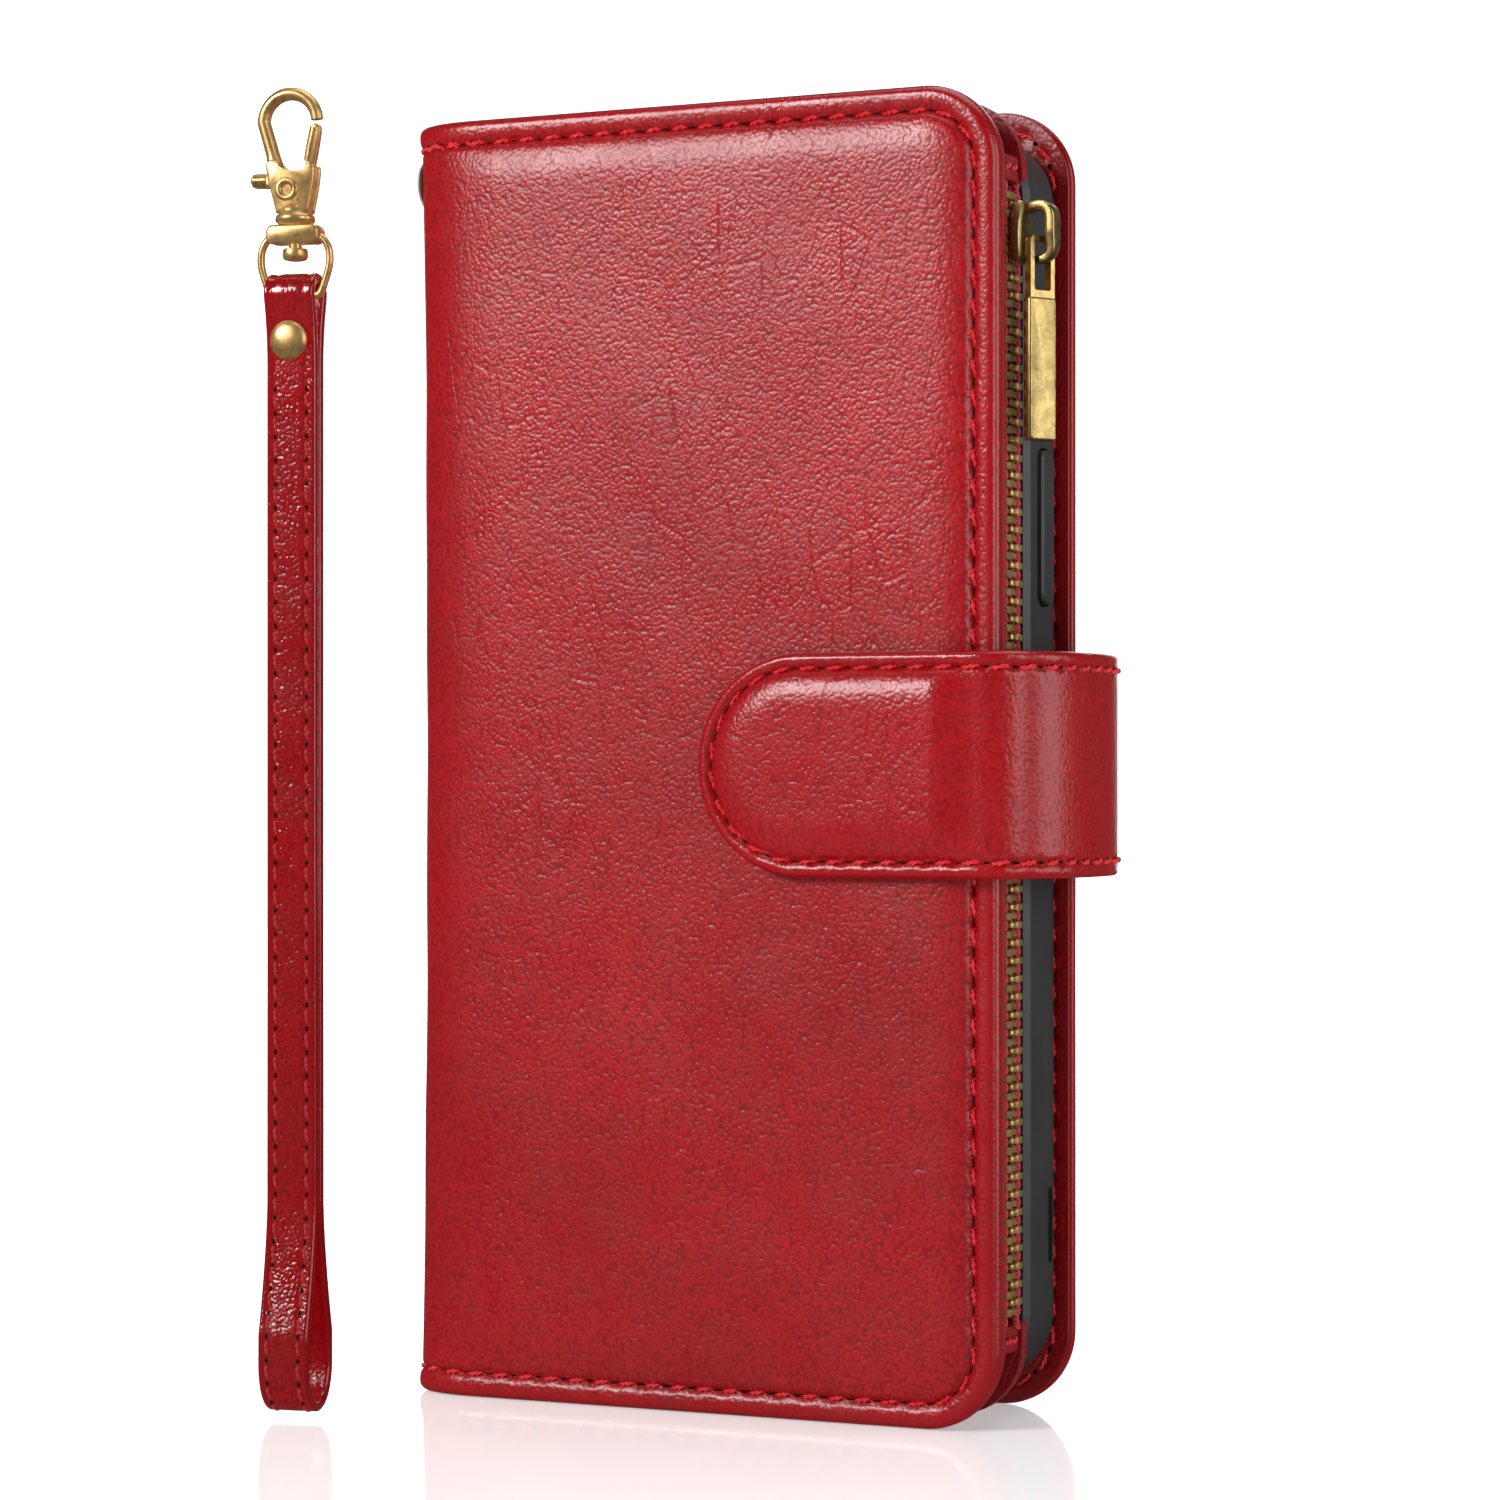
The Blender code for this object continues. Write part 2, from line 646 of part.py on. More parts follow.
def flap_tip():
    """Padded free end of the flap: outer leather, pad, magnet and lining."""
    crown, edge, seat = FLAP_CROWN_Y, FLAP_EDGE_Y, FLAP_SEAT_Y
    rings = [
        xz(flap_outline(5.5), crown),
        xz(flap_outline(3.6), crown + 0.5),
        xz(flap_outline(2.6), edge),
        xz(flap_outline(0.5), edge),
        xz(flap_outline(0.0), edge + 0.5),
        xz(flap_outline(0.0), edge + 1.2),
        xz(flap_outline(3.0), edge + 1.2),
        xz(flap_outline(4.4), crown + 1.3),
    ]
    outer = add("flap_tip_leather", loft(rings), leather())
    pad = add("flap_pad", loft([xz(flap_outline(5.2), y) for y in (crown + 1.6, edge + 0.4)]), card())
    inner = add("flap_tip_lining", loft([xz(flap_outline(0.2), y) for y in (seat - 0.6, seat)]), lining())
    disc = rod((MAGNET_X, edge + 0.7, FLAP_MIDDLE), MAGNET_RADIUS + 0.5, 0.6, (0, 1, 0))
    magnet = add("flap_magnet", disc, steel())
    return [outer, pad, inner, magnet]


# ---------------------------------------------------------------- wrist strap and its clasp


def place_strap(objects):
    """Moves pieces modelled about the strap's own axis to where the strap hangs."""
    turn = Matrix.Rotation(radians(STRAP_YAW), 4, "Z")
    move = Matrix.Translation(Vector((STRAP_PLACE[0], STRAP_PLACE[1], 0)) * MM)
    for obj in objects:
        obj.matrix_world = move @ turn @ obj.matrix_world
    bpy.context.view_layer.update()


def strap_half_gap(z):
    """Half the space between the strap's two runs: closed at the rivet, open at the hand loop."""
    head = 1.15 * max(0.0, (z - 126.0) / (BAR_Z - 126.0)) ** 2
    hand = 2.8 * max(0.0, min(1.0, (26.0 - z) / 16.0)) ** 1.5
    return 0.22 + head + hand


def strap_inside():
    """The band's inner face in Y and Z: over the ring's bar, down both runs and round the hand loop."""
    head = arc((0, BAR_Z), strap_half_gap(BAR_Z), 0, 180, 8)
    side = [(strap_half_gap(z), z) for z in STRAP_LEVELS]
    low = STRAP_LEVELS[-1]
    wide = strap_half_gap(low)
    foot = [(-wide * cos(radians(a)), low - HAND_DEPTH * sin(radians(a))) for a in range(15, 180, 15)]
    loop = head + [(-y, z) for y, z in side] + foot + side[::-1]
    gaps = [hypot(y - loop[i - 1][0], z - loop[i - 1][1]) for i, (y, z) in enumerate(loop)]
    return [point for point, gap in zip(loop, gaps) if gap > 0.05]


def strap_loop():
    """One leather band folded round the ring's bar and doubled back into the hand loop."""
    inside = strap_inside()
    half = STRAP_WIDTH / 2
    rings = []
    for index, (y, z) in enumerate(inside):
        before, after = inside[index - 1], inside[(index + 1) % len(inside)]
        along = Vector((after[0] - before[0], after[1] - before[1])).normalized() * STRAP_LEATHER
        outer = (y + along.y, z - along.x)
        rings.append([(-half, y, z), (-half, *outer), (half, *outer), (half, y, z)])
    strap = add("strap_leather", loft(rings, closed=True), leather(), (0, 0, BAR_Z))
    cut(strap, rod((0, -6.0, RIVET_Z), 1.35, 12.0, (0, 1, 0), 16))
    return strap


def strap_rivet():
    """Domed cap, post and back cap in one, through both runs of the strap."""
    face = strap_half_gap(RIVET_Z + 2.4) + STRAP_LEATHER + 0.2
    cap = [(0.6, -face - 0.9), (1.7, -face - 0.6), (2.35, -face)]
    post = [(1.1, -face), (1.1, face)]
    back = [(2.1, face), (1.6, face + 0.5)]
    return add("strap_rivet", turned((0, 0, RIVET_Z), cap + post + back, (0, 1, 0)), brass())


def swivel_ring():
    """A cast ring: a thick drilled bar on top and a round wire below, flat where the strap hangs."""
    centre, radius = (0, 138.6), 4.4
    path = [(-2.6, 141.6)] + arc(centre, radius, 140, 212, 7)
    path += [(-3.5, BAR_Z + 0.4), (-3.0, BAR_Z), (3.0, BAR_Z), (3.5, BAR_Z + 0.4)]
    path += arc(centre, radius, -32, 40, 7) + [(2.6, 141.6)]
    bar_profile = rounded((-3.3, 3.3), (140.5, 142.7), (0.7,) * 4, 3)
    made = add("swivel_ring", loft([xz(bar_profile, y) for y in (-1.4, 1.4)]), brass(), (0, 0, 141.6))
    join(made, wire(path, (RING_WIRE, RING_WIRE)))
    cut(made, rod((0, 0, 139.0), 1.0, 6.0, (0, 0, 1), 20))
    return made


def hook_body():
    """The lobster hook: collar, slotted body and the curved arm up to its nose, with the swivel pin."""
    thick = 1.3
    body = [(-2.1, 144.3), (2.1, 144.3), (2.75, 148.3), (2.6, 149.0), (1.4, 149.3), (-0.2, 149.3)]
    body += [(-1.4, 150.1), (-3.4, 150.1), (-3.0, 147.5)]
    hook = add("hook_body", loft([xz(body, y) for y in (-thick, thick)]), brass())
    arm = [(-2.4, 149.6), (-3.25, 152.6), (-4.0, 155.1)]
    arm += arc((-0.6, 155.1), 3.4, 180, 0, 12) + [(2.8, 155.0)]
    join(hook, wire(arm, (0.78, 1.0)))
    collar = [(2.0, 142.95), (2.35, 143.2), (2.35, 143.8), (1.9, 144.4), (1.2, 145.0)]
    join(hook, turned((0, 0, 0), collar, (0, 0, 1)))
    pin = [(0.75, 143.6), (0.75, 140.0), (1.5, 140.0), (1.5, 138.7), (1.1, 138.4)]
    join(hook, turned((0, 0, 0), pin, (0, 0, 1)))
    cut(hook, box((-6.0, 4.0), (-0.62, 0.62), (145.2, 151.6)))
    cut(hook, rod((PIVOT[0], -3.0, PIVOT[1]), 0.85, 6.0, (0, 1, 0), 20))
    return hook


def hook_trigger():
    """The lever in the hook's slot: thumb knob on the left, gate bar on the right."""
    knob = [(-2.6, 148.9), (-5.2, 149.1), (-5.7, 148.7), (-5.7, 147.6), (-5.2, 147.2), (-3.0, 147.3)]
    heel = [(-1.6, 145.9), (0.4, 145.7), (1.6, 146.6)]
    gate = [(2.5, 149.6), (3.5, 154.4), (2.4, 154.6), (1.3, 150.0), (-0.6, 148.5)]
    lever = loft([xz(knob + heel + gate, y) for y in (-0.4, 0.4)])
    made = add("hook_trigger", lever, brass(), (PIVOT[0], 0, PIVOT[1]))
    cut(made, rod((PIVOT[0], -3.0, PIVOT[1]), 0.85, 6.0, (0, 1, 0), 20))
    return made


def trigger_pin():
    """The hollow rivet that the trigger turns on, its two ends spread over the hook's sides."""
    end, inner_face = 1.85, 1.6
    ring = [(1.4, -end), (1.4, -inner_face), (0.62, -inner_face), (0.62, inner_face)]
    ring += [(1.4, inner_face), (1.4, end), (0.4, end), (0.4, -end)]
    pin = spun(ring, lambda u, v, y: (PIVOT[0] + u, y, PIVOT[1] + v), 20)
    return add("trigger_pin", pin, brass())


def build():
    clear_scene()
    back_cover()
    phone_shell()
    shell_button("power_button", POWER_Z, 1)
    shell_button("volume_up_button", VOLUME_UP_Z, -1)
    shell_button("volume_down_button", VOLUME_DOWN_Z, -1)
    flap_base()
    parented(spine(), "spine_fold_axis", (FOLD_X, BACK_FOLD_Y, 0))
    moving = front_cover() + pocket_panel() + zip_ends()
    moving += [gusset("gusset_top", 0, 151.5, -1), gusset("gusset_bottom", 6.5, 0, 1)]
    moving += [zip_row("zip_teeth_front", -1, 0.0), zip_row("zip_teeth_rear", 1, TOOTH_PITCH / 2)]
    moving += [zip_tape("zip_tape_front", -1), zip_tape("zip_tape_rear", 1)]
    parented(moving, "cover_fold_axis", (FOLD_X, FRONT_FOLD_Y, 0))
    slider()
    puller()
    parented(flap_side(), "flap_hinge_axis", (FLAP_BASE_X[1], FLAP_BASE_Y[0], 0))
    parented(flap_tip(), "flap_fold_axis", (FLAP_TURN_X, FLAP_SEAT_Y, 0))
    strap = [hook_body(), hook_trigger(), trigger_pin(), swivel_ring(), strap_loop(), strap_rivet()]
    place_strap(strap)


build()
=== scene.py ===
"""Looks of the phone wallet case: leather, stitches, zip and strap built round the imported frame.

Lengths are millimetres inside the functions, and MM turns them into the scene's metres.
"""

from math import cos, pi, radians, sin

import bmesh
import bpy
import numpy as np
from mathutils import Matrix, Vector, noise
from mathutils.kdtree import KDTree


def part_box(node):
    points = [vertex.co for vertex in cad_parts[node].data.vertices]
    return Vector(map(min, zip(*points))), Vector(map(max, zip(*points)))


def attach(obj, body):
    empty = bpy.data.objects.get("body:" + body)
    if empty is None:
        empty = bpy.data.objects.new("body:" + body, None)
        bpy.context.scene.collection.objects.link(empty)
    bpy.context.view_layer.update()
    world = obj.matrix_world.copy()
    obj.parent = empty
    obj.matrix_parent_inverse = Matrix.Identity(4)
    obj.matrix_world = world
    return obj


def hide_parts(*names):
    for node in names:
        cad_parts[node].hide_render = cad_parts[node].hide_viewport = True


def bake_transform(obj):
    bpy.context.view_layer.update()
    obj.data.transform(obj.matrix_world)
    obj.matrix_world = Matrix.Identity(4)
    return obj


MM = 0.001
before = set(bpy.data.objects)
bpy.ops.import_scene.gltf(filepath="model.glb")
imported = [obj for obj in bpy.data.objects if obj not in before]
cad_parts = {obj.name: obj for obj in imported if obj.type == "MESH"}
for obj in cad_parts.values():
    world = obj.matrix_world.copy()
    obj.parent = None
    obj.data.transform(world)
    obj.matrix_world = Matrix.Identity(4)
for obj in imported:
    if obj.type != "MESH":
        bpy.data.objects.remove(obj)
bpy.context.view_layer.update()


def span(node):
    """A CAD node's lowest and highest corners, in millimetres."""
    low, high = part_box(node)
    return low / MM, high / MM


# Places read from the frame
FRONT_LOW, FRONT_HIGH = span("front_cover_leather")
BACK_LOW, BACK_HIGH = span("back_cover_leather")
SPINE_LOW, SPINE_HIGH = span("spine_leather")
BASE_LOW, BASE_HIGH = span("flap_base")
LOOP_LOW, LOOP_HIGH = span("flap_loop_leather")
TIP_LOW = span("flap_tip_leather")[0]
CHAIN_LOW, CHAIN_HIGH = span("zip_teeth_front")
REAR_HIGH = span("zip_teeth_rear")[1]
HEIGHT = FRONT_HIGH.z
RIGHT = FRONT_HIGH.x
MID_SPINE = (SPINE_LOW.y + SPINE_HIGH.y) / 2
SPINE_FACE = SPINE_LOW.x - 0.1  # X of the visible spine
ZIP_Y = (CHAIN_LOW.y + REAR_HIGH.y) / 2

# Covers and spine
RIM = FRONT_LOW.y + 0.6  # Y of the front cover's flat rim, outside the stitches
CORNER = 9.5  # radius of the covers' corners
FOLD_ROUND = 4.4  # how far the bends at the spine reach in Y
FRONT_SLOPE = 9.0  # how far the front bend reaches in X
SPINE_RUN = MID_SPINE - RIM - FOLD_ROUND  # length of spine before the front bend
BACK_RUN = BACK_HIGH.y - FOLD_ROUND - MID_SPINE  # length of spine before the back bend
CAMERA_X = (3.0, 32.0)
CAMERA_Z = (116.0, 148.0)
CAMERA_ROUND = 7.0
CAMERA_MARGIN = 1.5  # how much wider the plies are cut than the camera opening

# Seams: the length of a stitch, and how far in from the edge each seam runs
STITCH = 3.6
STITCH_INSET = 3.0
BACK_INSET = 2.1
FLAP_INSET = 1.9
STRAP_INSET = 1.15

# Flap
FLAP_THICK = 1.9
BASE_THICK = 1.6
BASE_CORNER = 6.0
FLAP_TURN = 37.0  # X where the loop's curve ends and the tip lies flat
LOOP_MIDDLE = (BASE_HIGH.y + TIP_LOW.y + FLAP_THICK) / 2

# Zip
TOOTH_PITCH = 2.12
FIRST_TOOTH = 0.4  # height of the lowest tooth's foot over the row's
TOOTH_MIDDLE = 0.43  # height of a tooth's middle over its foot
CORD_Y = 1.95  # distance of each tape's corded edge from the zip's middle

# Strap
STRAP_PLACE = (-42.0, -47.9)
STRAP_TURN = radians(10.0)
BAR_Z = 134.3  # the ring's bar, which the band goes round
RIVET_Z = 128.8
HEAD_Z = 126.0  # where the two runs begin to part for the bar
SEAM_TOP = 124.0
HAND_Z = 26.0  # where they begin to part for the hand loop
FOOT_Z = 6.5  # where the hand loop's round foot begins
BAND = 1.3
BAND_WIDTH = 6.3

VIEW_YAW = radians(26.0)


# Materials


class Graph:
    """A material's node tree, with a short way to add a node and join its inputs."""

    def __init__(self, name, attribute=None, **sockets):
        self.material = bpy.data.materials.new(name)
        self.material.use_nodes = True
        self.tree = self.material.node_tree
        self.shader = self.tree.nodes["Principled BSDF"]
        for socket, value in sockets.items():
            self.shader.inputs[socket.replace("_", " ")].default_value = value
        if attribute:  # the mesh's own leather coordinates
            self.place = self.add("Attribute", attribute_name=attribute).outputs["Vector"]
        else:
            self.place = self.add("TexCoord").outputs["Object"]

    def add(self, kind, inputs=None, **settings):
        made = self.tree.nodes.new("ShaderNode" + kind)
        for setting, value in settings.items():
            setattr(made, setting, value)
        for socket, value in (inputs or {}).items():
            if isinstance(value, bpy.types.NodeSocket):
                self.tree.links.new(value, made.inputs[socket])
            else:
                made.inputs[socket].default_value = value
        return made

    def drive(self, socket, source):
        self.tree.links.new(source, self.shader.inputs[socket])

    def noise(self, scale, detail=3.0, rough=0.55):
        inputs = {"Vector": self.place, "Scale": scale, "Detail": detail, "Roughness": rough}
        return self.add("TexNoise", inputs).outputs["Fac"]

    def ramp(self, value, low, high, to_low=0.0, to_high=1.0):
        inputs = {"Value": value, "From Min": low, "From Max": high, "To Min": to_low, "To Max": to_high}
        return self.add("MapRange", inputs).outputs["Result"]

    def maths(self, operation, a, b):
        return self.add("Math", {0: a, 1: b}, operation=operation).outputs[0]

    def times(self, a, b):
        return self.maths("MULTIPLY", a, b)

    def blend(self, share, a, b):
        ends = [end if isinstance(end, bpy.types.NodeSocket) else (*end, 1.0) for end in (a, b)]
        inputs = {"Factor": share, 6: ends[0], 7: ends[1]}
        return self.add("Mix", inputs, data_type="RGBA").outputs[2]

    def colour(self, share, light, dark):
        self.drive("Base Color", self.blend(share, light, dark))

    def gloss(self, scale, low, high, detail=3.0):
        """Roughness that drifts between two values over the surface."""
        self.drive("Roughness", self.ramp(self.noise(scale, detail), 0.3, 0.7, low, high))

    def bump(self, height, distance, strength):
        inputs = {"Height": height, "Distance": distance, "Strength": strength}
        self.drive("Normal", self.add("Bump", inputs).outputs["Normal"])


def leather(name, light, dark, attribute="leather", pebble=0.5, relief=0.00009, rough=(0.34, 0.5),
            coat=0.1):
    """Pull-up leather: pebble grain, creases, mottled colour, painted shade in the grain's grooves, and
    smoother darker worn places.
    """
    graph = Graph(name, attribute, IOR=1.45, Coat_Weight=coat, Coat_Roughness=0.2 - 0.2 * coat)
    place = graph.place
    warp = graph.add("TexNoise", {"Vector": place, "Scale": 420.0, "Detail": 2.0}).outputs["Color"]
    centred = graph.add("VectorMath", {0: warp, 1: (0.5, 0.5, 0.5)}, operation="SUBTRACT").outputs[0]
    shift = graph.add("VectorMath", {0: centred, "Scale": 0.0005}, operation="SCALE").outputs[0]
    bent = graph.add("VectorMath", {0: place, 1: shift}, operation="ADD").outputs[0]
    cells = {"Vector": bent, "Scale": 1000.0 / pebble}
    reach = graph.add("TexVoronoi", cells, feature="SMOOTH_F1").outputs["Distance"]
    dome = graph.times(graph.times(reach, reach), -1.3)
    grain = graph.ramp(reach, 0.62, 0.3)
    pores = graph.noise(3200.0, 2.0)
    long = graph.add("Mapping", {"Vector": bent, "Scale": (1.0, 0.45, 1.0)}).outputs["Vector"]
    plates = {"Vector": long, "Scale": 240.0}
    folds = graph.add("TexVoronoi", plates, feature="DISTANCE_TO_EDGE").outputs["Distance"]
    patches = graph.ramp(graph.noise(45.0, 2.0), 0.46, 0.62)
    creases = graph.times(graph.ramp(folds, 0.0, 0.05, 1.0, 0.0), patches)
    wear = graph.add("Attribute", attribute_name="wear").outputs["Fac"]
    flat = graph.ramp(wear, 0.0, 1.0, 1.0, 0.35)
    height = graph.maths("ADD", dome, graph.times(pores, 0.1))
    height = graph.maths("SUBTRACT", height, graph.times(creases, 0.6))
    graph.bump(graph.times(height, flat), relief, 1.0)
    clouds = graph.ramp(graph.noise(30.0, 5.0, 0.6), 0.35, 0.7)
    fine = graph.ramp(graph.noise(260.0), 0.3, 0.75)
    tone = graph.maths("ADD", graph.times(clouds, 0.6), graph.times(fine, 0.3))
    # The darker colour below serves two marks: painted shade in the grain's grooves, and real wear near the
    # edges.
    worn = tuple(0.75 * value for value in dark)
    groove_shade = graph.times(graph.ramp(grain, 0.0, 1.0, 0.7, 0.0), flat)
    shade = graph.maths("MAXIMUM", groove_shade, graph.times(wear, 0.5))
    graph.colour(shade, graph.blend(tone, light, dark), worn)
    shine = graph.ramp(graph.noise(120.0), 0.3, 0.7, *rough)
    graph.drive("Roughness", graph.maths("SUBTRACT", shine, graph.times(wear, 0.08)))
    return graph.material


def brass(name, light, dark, metallic):
    """Antique brass: bright and brown patina in random patches, with fine pitting."""
    graph = Graph(name, Metallic=metallic)
    patina = graph.ramp(graph.noise(420.0, 6.0, 0.7), 0.42, 0.7)
    spots = graph.ramp(graph.noise(1900.0, 4.0, 0.7), 0.56, 0.7)
    graph.colour(graph.times(spots, 0.55), graph.blend(patina, light, dark), (0.12, 0.07, 0.03))
    graph.gloss(700.0, 0.26, 0.44, 4.0)
    graph.bump(graph.noise(1500.0, 5.0), 0.00003, 0.5)
    return graph.material


def thread(name, light, dark):
    """Waxed polyester sewing thread."""
    graph = Graph(name, Sheen_Weight=0.15, Sheen_Roughness=0.4)
    graph.colour(graph.noise(2500.0), light, dark)
    graph.gloss(900.0, 0.42, 0.6)
    graph.bump(graph.noise(6000.0, 2.0), 0.00002, 0.6)
    return graph.material


def hole():
    """Painted shade for a needle hole: a near-black colour for the discs set in each hole."""
    graph = Graph("needle_hole_shade", Specular_IOR_Level=0.1)
    graph.colour(graph.noise(800.0), (0.012, 0.001, 0.001), (0.03, 0.002, 0.002))
    graph.gloss(600.0, 0.7, 0.95)
    return graph.material


def rubber():
    """Matt black rubber with a fine moulded texture and faint rubbing."""
    graph = Graph("black_rubber", IOR=1.5)
    rubbed = graph.ramp(graph.noise(60.0, 4.0), 0.35, 0.75)
    graph.colour(rubbed, (0.022, 0.022, 0.023), (0.030, 0.030, 0.031))
    graph.gloss(200.0, 0.42, 0.52)
    graph.bump(graph.noise(5200.0, 2.0), 0.00001, 0.5)
    return graph.material


def woven():
    """Herringbone zip tape, darker in its low ribs as painted shade."""
    graph = Graph("woven_tape", Sheen_Weight=0.15)
    slant = {"Vector": graph.place, "Rotation": (radians(45), 0.0, 0.0)}
    turned = graph.add("Mapping", slant).outputs["Vector"]
    ribs = graph.add("TexWave", {"Vector": turned, "Scale": 900.0, "Distortion": 1.5}, bands_direction="Z")
    rib_height_and_shade = ribs.outputs["Fac"]
    # Painted shade: the colour follows the ribs' height, dark in the low ribs and bright on the raised ones.
    graph.colour(rib_height_and_shade, (0.16, 0.002, 0.008), (0.62, 0.008, 0.03))
    graph.gloss(500.0, 0.7, 0.9)
    graph.bump(rib_height_and_shade, 0.00008, 0.8)
    return graph.material


def plain(name, light, dark, scale, metallic=0.0, rough=(0.7, 0.9)):
    """A plain inner material: board, foam or steel."""
    graph = Graph(name, Metallic=metallic)
    graph.colour(graph.noise(scale, 5.0), light, dark)
    graph.gloss(scale, *rough)
    graph.bump(graph.noise(scale * 4), 0.00003, 0.5)
    return graph.material


RED = (0.38, 0.002, 0.006)
OUTER = leather("red_leather", RED, (0.23, 0.001, 0.003), pebble=0.42, relief=0.00007, rough=(0.3, 0.4))
FLAP = leather("flap_leather", RED, (0.26, 0.001, 0.003), pebble=0.42, relief=0.00006, rough=(0.27, 0.36))
INNER = leather("inner_leather", (0.30, 0.004, 0.006), (0.20, 0.002, 0.004), rough=(0.3, 0.45))
PLAIN = leather("turned_leather", (0.30, 0.004, 0.007), (0.19, 0.002, 0.004), attribute=None)
STRAP = leather("strap_leather", (0.30, 0.001, 0.003), (0.17, 0.0008, 0.002), pebble=0.4,
                relief=0.00008, rough=(0.14, 0.26), coat=0.6)
# Two copies of one brass: a darker one for the slider and puller, partly heavier patina and partly painted
# shade, and a brighter, less metallic one for the teeth and strap metal, painted light.
SHADED_BRASS = brass("shaded_brass", (0.52, 0.38, 0.15), (0.31, 0.22, 0.085), 1.0)
LIT_BRASS = brass("lit_brass", (0.70, 0.44, 0.17), (0.40, 0.24, 0.09), 0.82)
THREAD = thread("red_thread", (0.76, 0.008, 0.018), (0.50, 0.004, 0.010))
DARK_THREAD = thread("dark_thread", (0.40, 0.002, 0.005), (0.24, 0.001, 0.003))
HOLE_SHADE = hole()
RUBBER = rubber()
TAPE = woven()
BOARD = plain("grey_board", (0.38, 0.35, 0.30), (0.28, 0.26, 0.22), 300.0)
FOAM = plain("white_foam", (0.62, 0.62, 0.60), (0.50, 0.50, 0.48), 900.0)
STEEL = plain("plain_steel", (0.62, 0.61, 0.60), (0.50, 0.49, 0.48), 500.0, 0.4, (0.3, 0.45))


# Mesh helpers


def mesh_object(name, points, faces, material, attributes=None, sharp=40):
    """An object from arrays of points in millimetres and faces, shaded smooth."""
    data = bpy.data.meshes.new(name)
    data.from_pydata(np.asarray(points) * MM, [], [tuple(face) for face in faces])
    for key, values in (attributes or {}).items():
        kind, field = ("FLOAT_VECTOR", "vector") if values.ndim == 2 else ("FLOAT", "value")
        layer = data.attributes.new(key, kind, "POINT")
        layer.data.foreach_set(field, np.ascontiguousarray(values, dtype=np.float32).ravel())
    shell = bmesh.new()
    shell.from_mesh(data)
    bmesh.ops.recalc_face_normals(shell, faces=shell.faces)
    shell.to_mesh(data)
    shell.free()
    data.materials.append(material)
    data.shade_smooth()
    data.set_sharp_from_angle(angle=radians(sharp))
    obj = bpy.data.objects.new(name, data)
    bpy.context.scene.collection.objects.link(obj)
    return obj


def angles(sides):
    """Evenly spaced angles round a circle."""
    return [2 * pi * step / sides for step in range(sides)]


def quarter(steps):
    """Evenly spaced angles over a quarter turn."""
    return [pi / 2 * step / steps for step in range(steps + 1)]


class Solids:
    """Closed bodies gathered into one mesh."""

    def __init__(self):
        self.points = []
        self.faces = []

    def rings(self, rings, closed=False):
        """A body over rings of equal length, capped at both ends or joined end to end."""
        start, size = len(self.points), len(rings[0])
        for ring in rings:
            self.points.extend(tuple(point) for point in ring)
        last = len(rings) if closed else len(rings) - 1
        for level in range(last):
            above = (level + 1) % len(rings)
            for i in range(size):
                j = (i + 1) % size
                low, high = start + level * size, start + above * size
                self.faces.append((low + i, low + j, high + j, high + i))
        if not closed:
            self.faces.append(tuple(range(start + size - 1, start - 1, -1)))
            end = start + last * size
            self.faces.append(tuple(range(end, end + size)))
        return self

    def tube(self, path, radii, sides=8):
        """A wire of round or oval section along an open path; radii are across and along Y."""
        path = [Vector(point) for point in path]
        rings = []
        for index, point in enumerate(path):
            before, after = path[max(index - 1, 0)], path[min(index + 1, len(path) - 1)]
            along = (after - before).normalized()
            side = Vector((0.0, 1.0, 0.0)).cross(along).normalized()
            top = along.cross(side)
            wide, high = radii[index] if isinstance(radii, list) else radii
            rings.append([point + side * (wide * cos(a)) + top * (high * sin(a)) for a in angles(sides)])
        return self.rings(rings)

    def turned(self, centre, profile, axis, sides=36):
        """A solid of revolution from (radius, distance) pairs along an axis."""
        turn = Vector((0, 0, 1)).rotation_difference(Vector(axis))
        rings = []
        for radius, along in profile:
            ring = [Vector((radius * cos(a), radius * sin(a), along)) for a in angles(sides)]
            rings.append([turn @ point + Vector(centre) for point in ring])
        return self.rings(rings)

    def object(self, name, material, sharp=40, attributes=None):
        return mesh_object(name, self.points, self.faces, material, attributes, sharp)


def both_sides(half):
    """(depth, shrink) of a plate's levels from face to face, given those of one half."""
    return [(-depth, shrink) for depth, shrink in half] + half[::-1]


def soft(share):
    """Smooth step of an array held between 0 and 1."""
    share = np.clip(share, 0.0, 1.0)
    return share * share * (3 - 2 * share)


def rounded(u, v, radius, steps=4):
    """A rectangle's outline with rounded corners."""
    points = []
    for cu, cv, start in ((u[0], v[0], 180), (u[1], v[0], 270), (u[1], v[1], 0), (u[0], v[1], 90)):
        centre = (cu + (radius if cu == u[0] else -radius), cv + (radius if cv == v[0] else -radius))
        points += arc(centre, radius, start, start + 90, steps)
    return points


def arc(centre, radius, start, end, steps=24):
    """Points round a centre between two angles in degrees."""
    turns = [radians(start + (end - start) * step / steps) for step in range(steps + 1)]
    return [(centre[0] + radius * cos(turn), centre[1] + radius * sin(turn)) for turn in turns]


def run_along(points):
    """Distance along a path at each of its points."""
    return np.concatenate([[0], np.cumsum(np.linalg.norm(np.diff(points, axis=0), axis=1))])


def read_at(where, along, table):
    """A table's columns read at distances along its path."""
    return np.stack([np.interp(where, along, column) for column in table.T], -1)


def curve(points, count):
    """Points at even spacing on a smooth curve through the given ones."""
    points = np.array(points, float)
    ends = np.vstack([2 * points[0] - points[1], points, 2 * points[-1] - points[-2]])
    made = []
    for i in range(1, len(ends) - 2):
        a, b, c, d = ends[i - 1 : i + 3]
        for t in np.linspace(0, 1, 24, endpoint=False):
            made.append(0.5 * (2 * b + (c - a) * t + (2 * a - 5 * b + 4 * c - d) * t**2
                               + (3 * b - a - 3 * c + d) * t**3))
    made = np.array(made + [points[-1]])
    along = run_along(made)
    return read_at(np.linspace(0, along[-1], count), along, made)


# Plies of leather


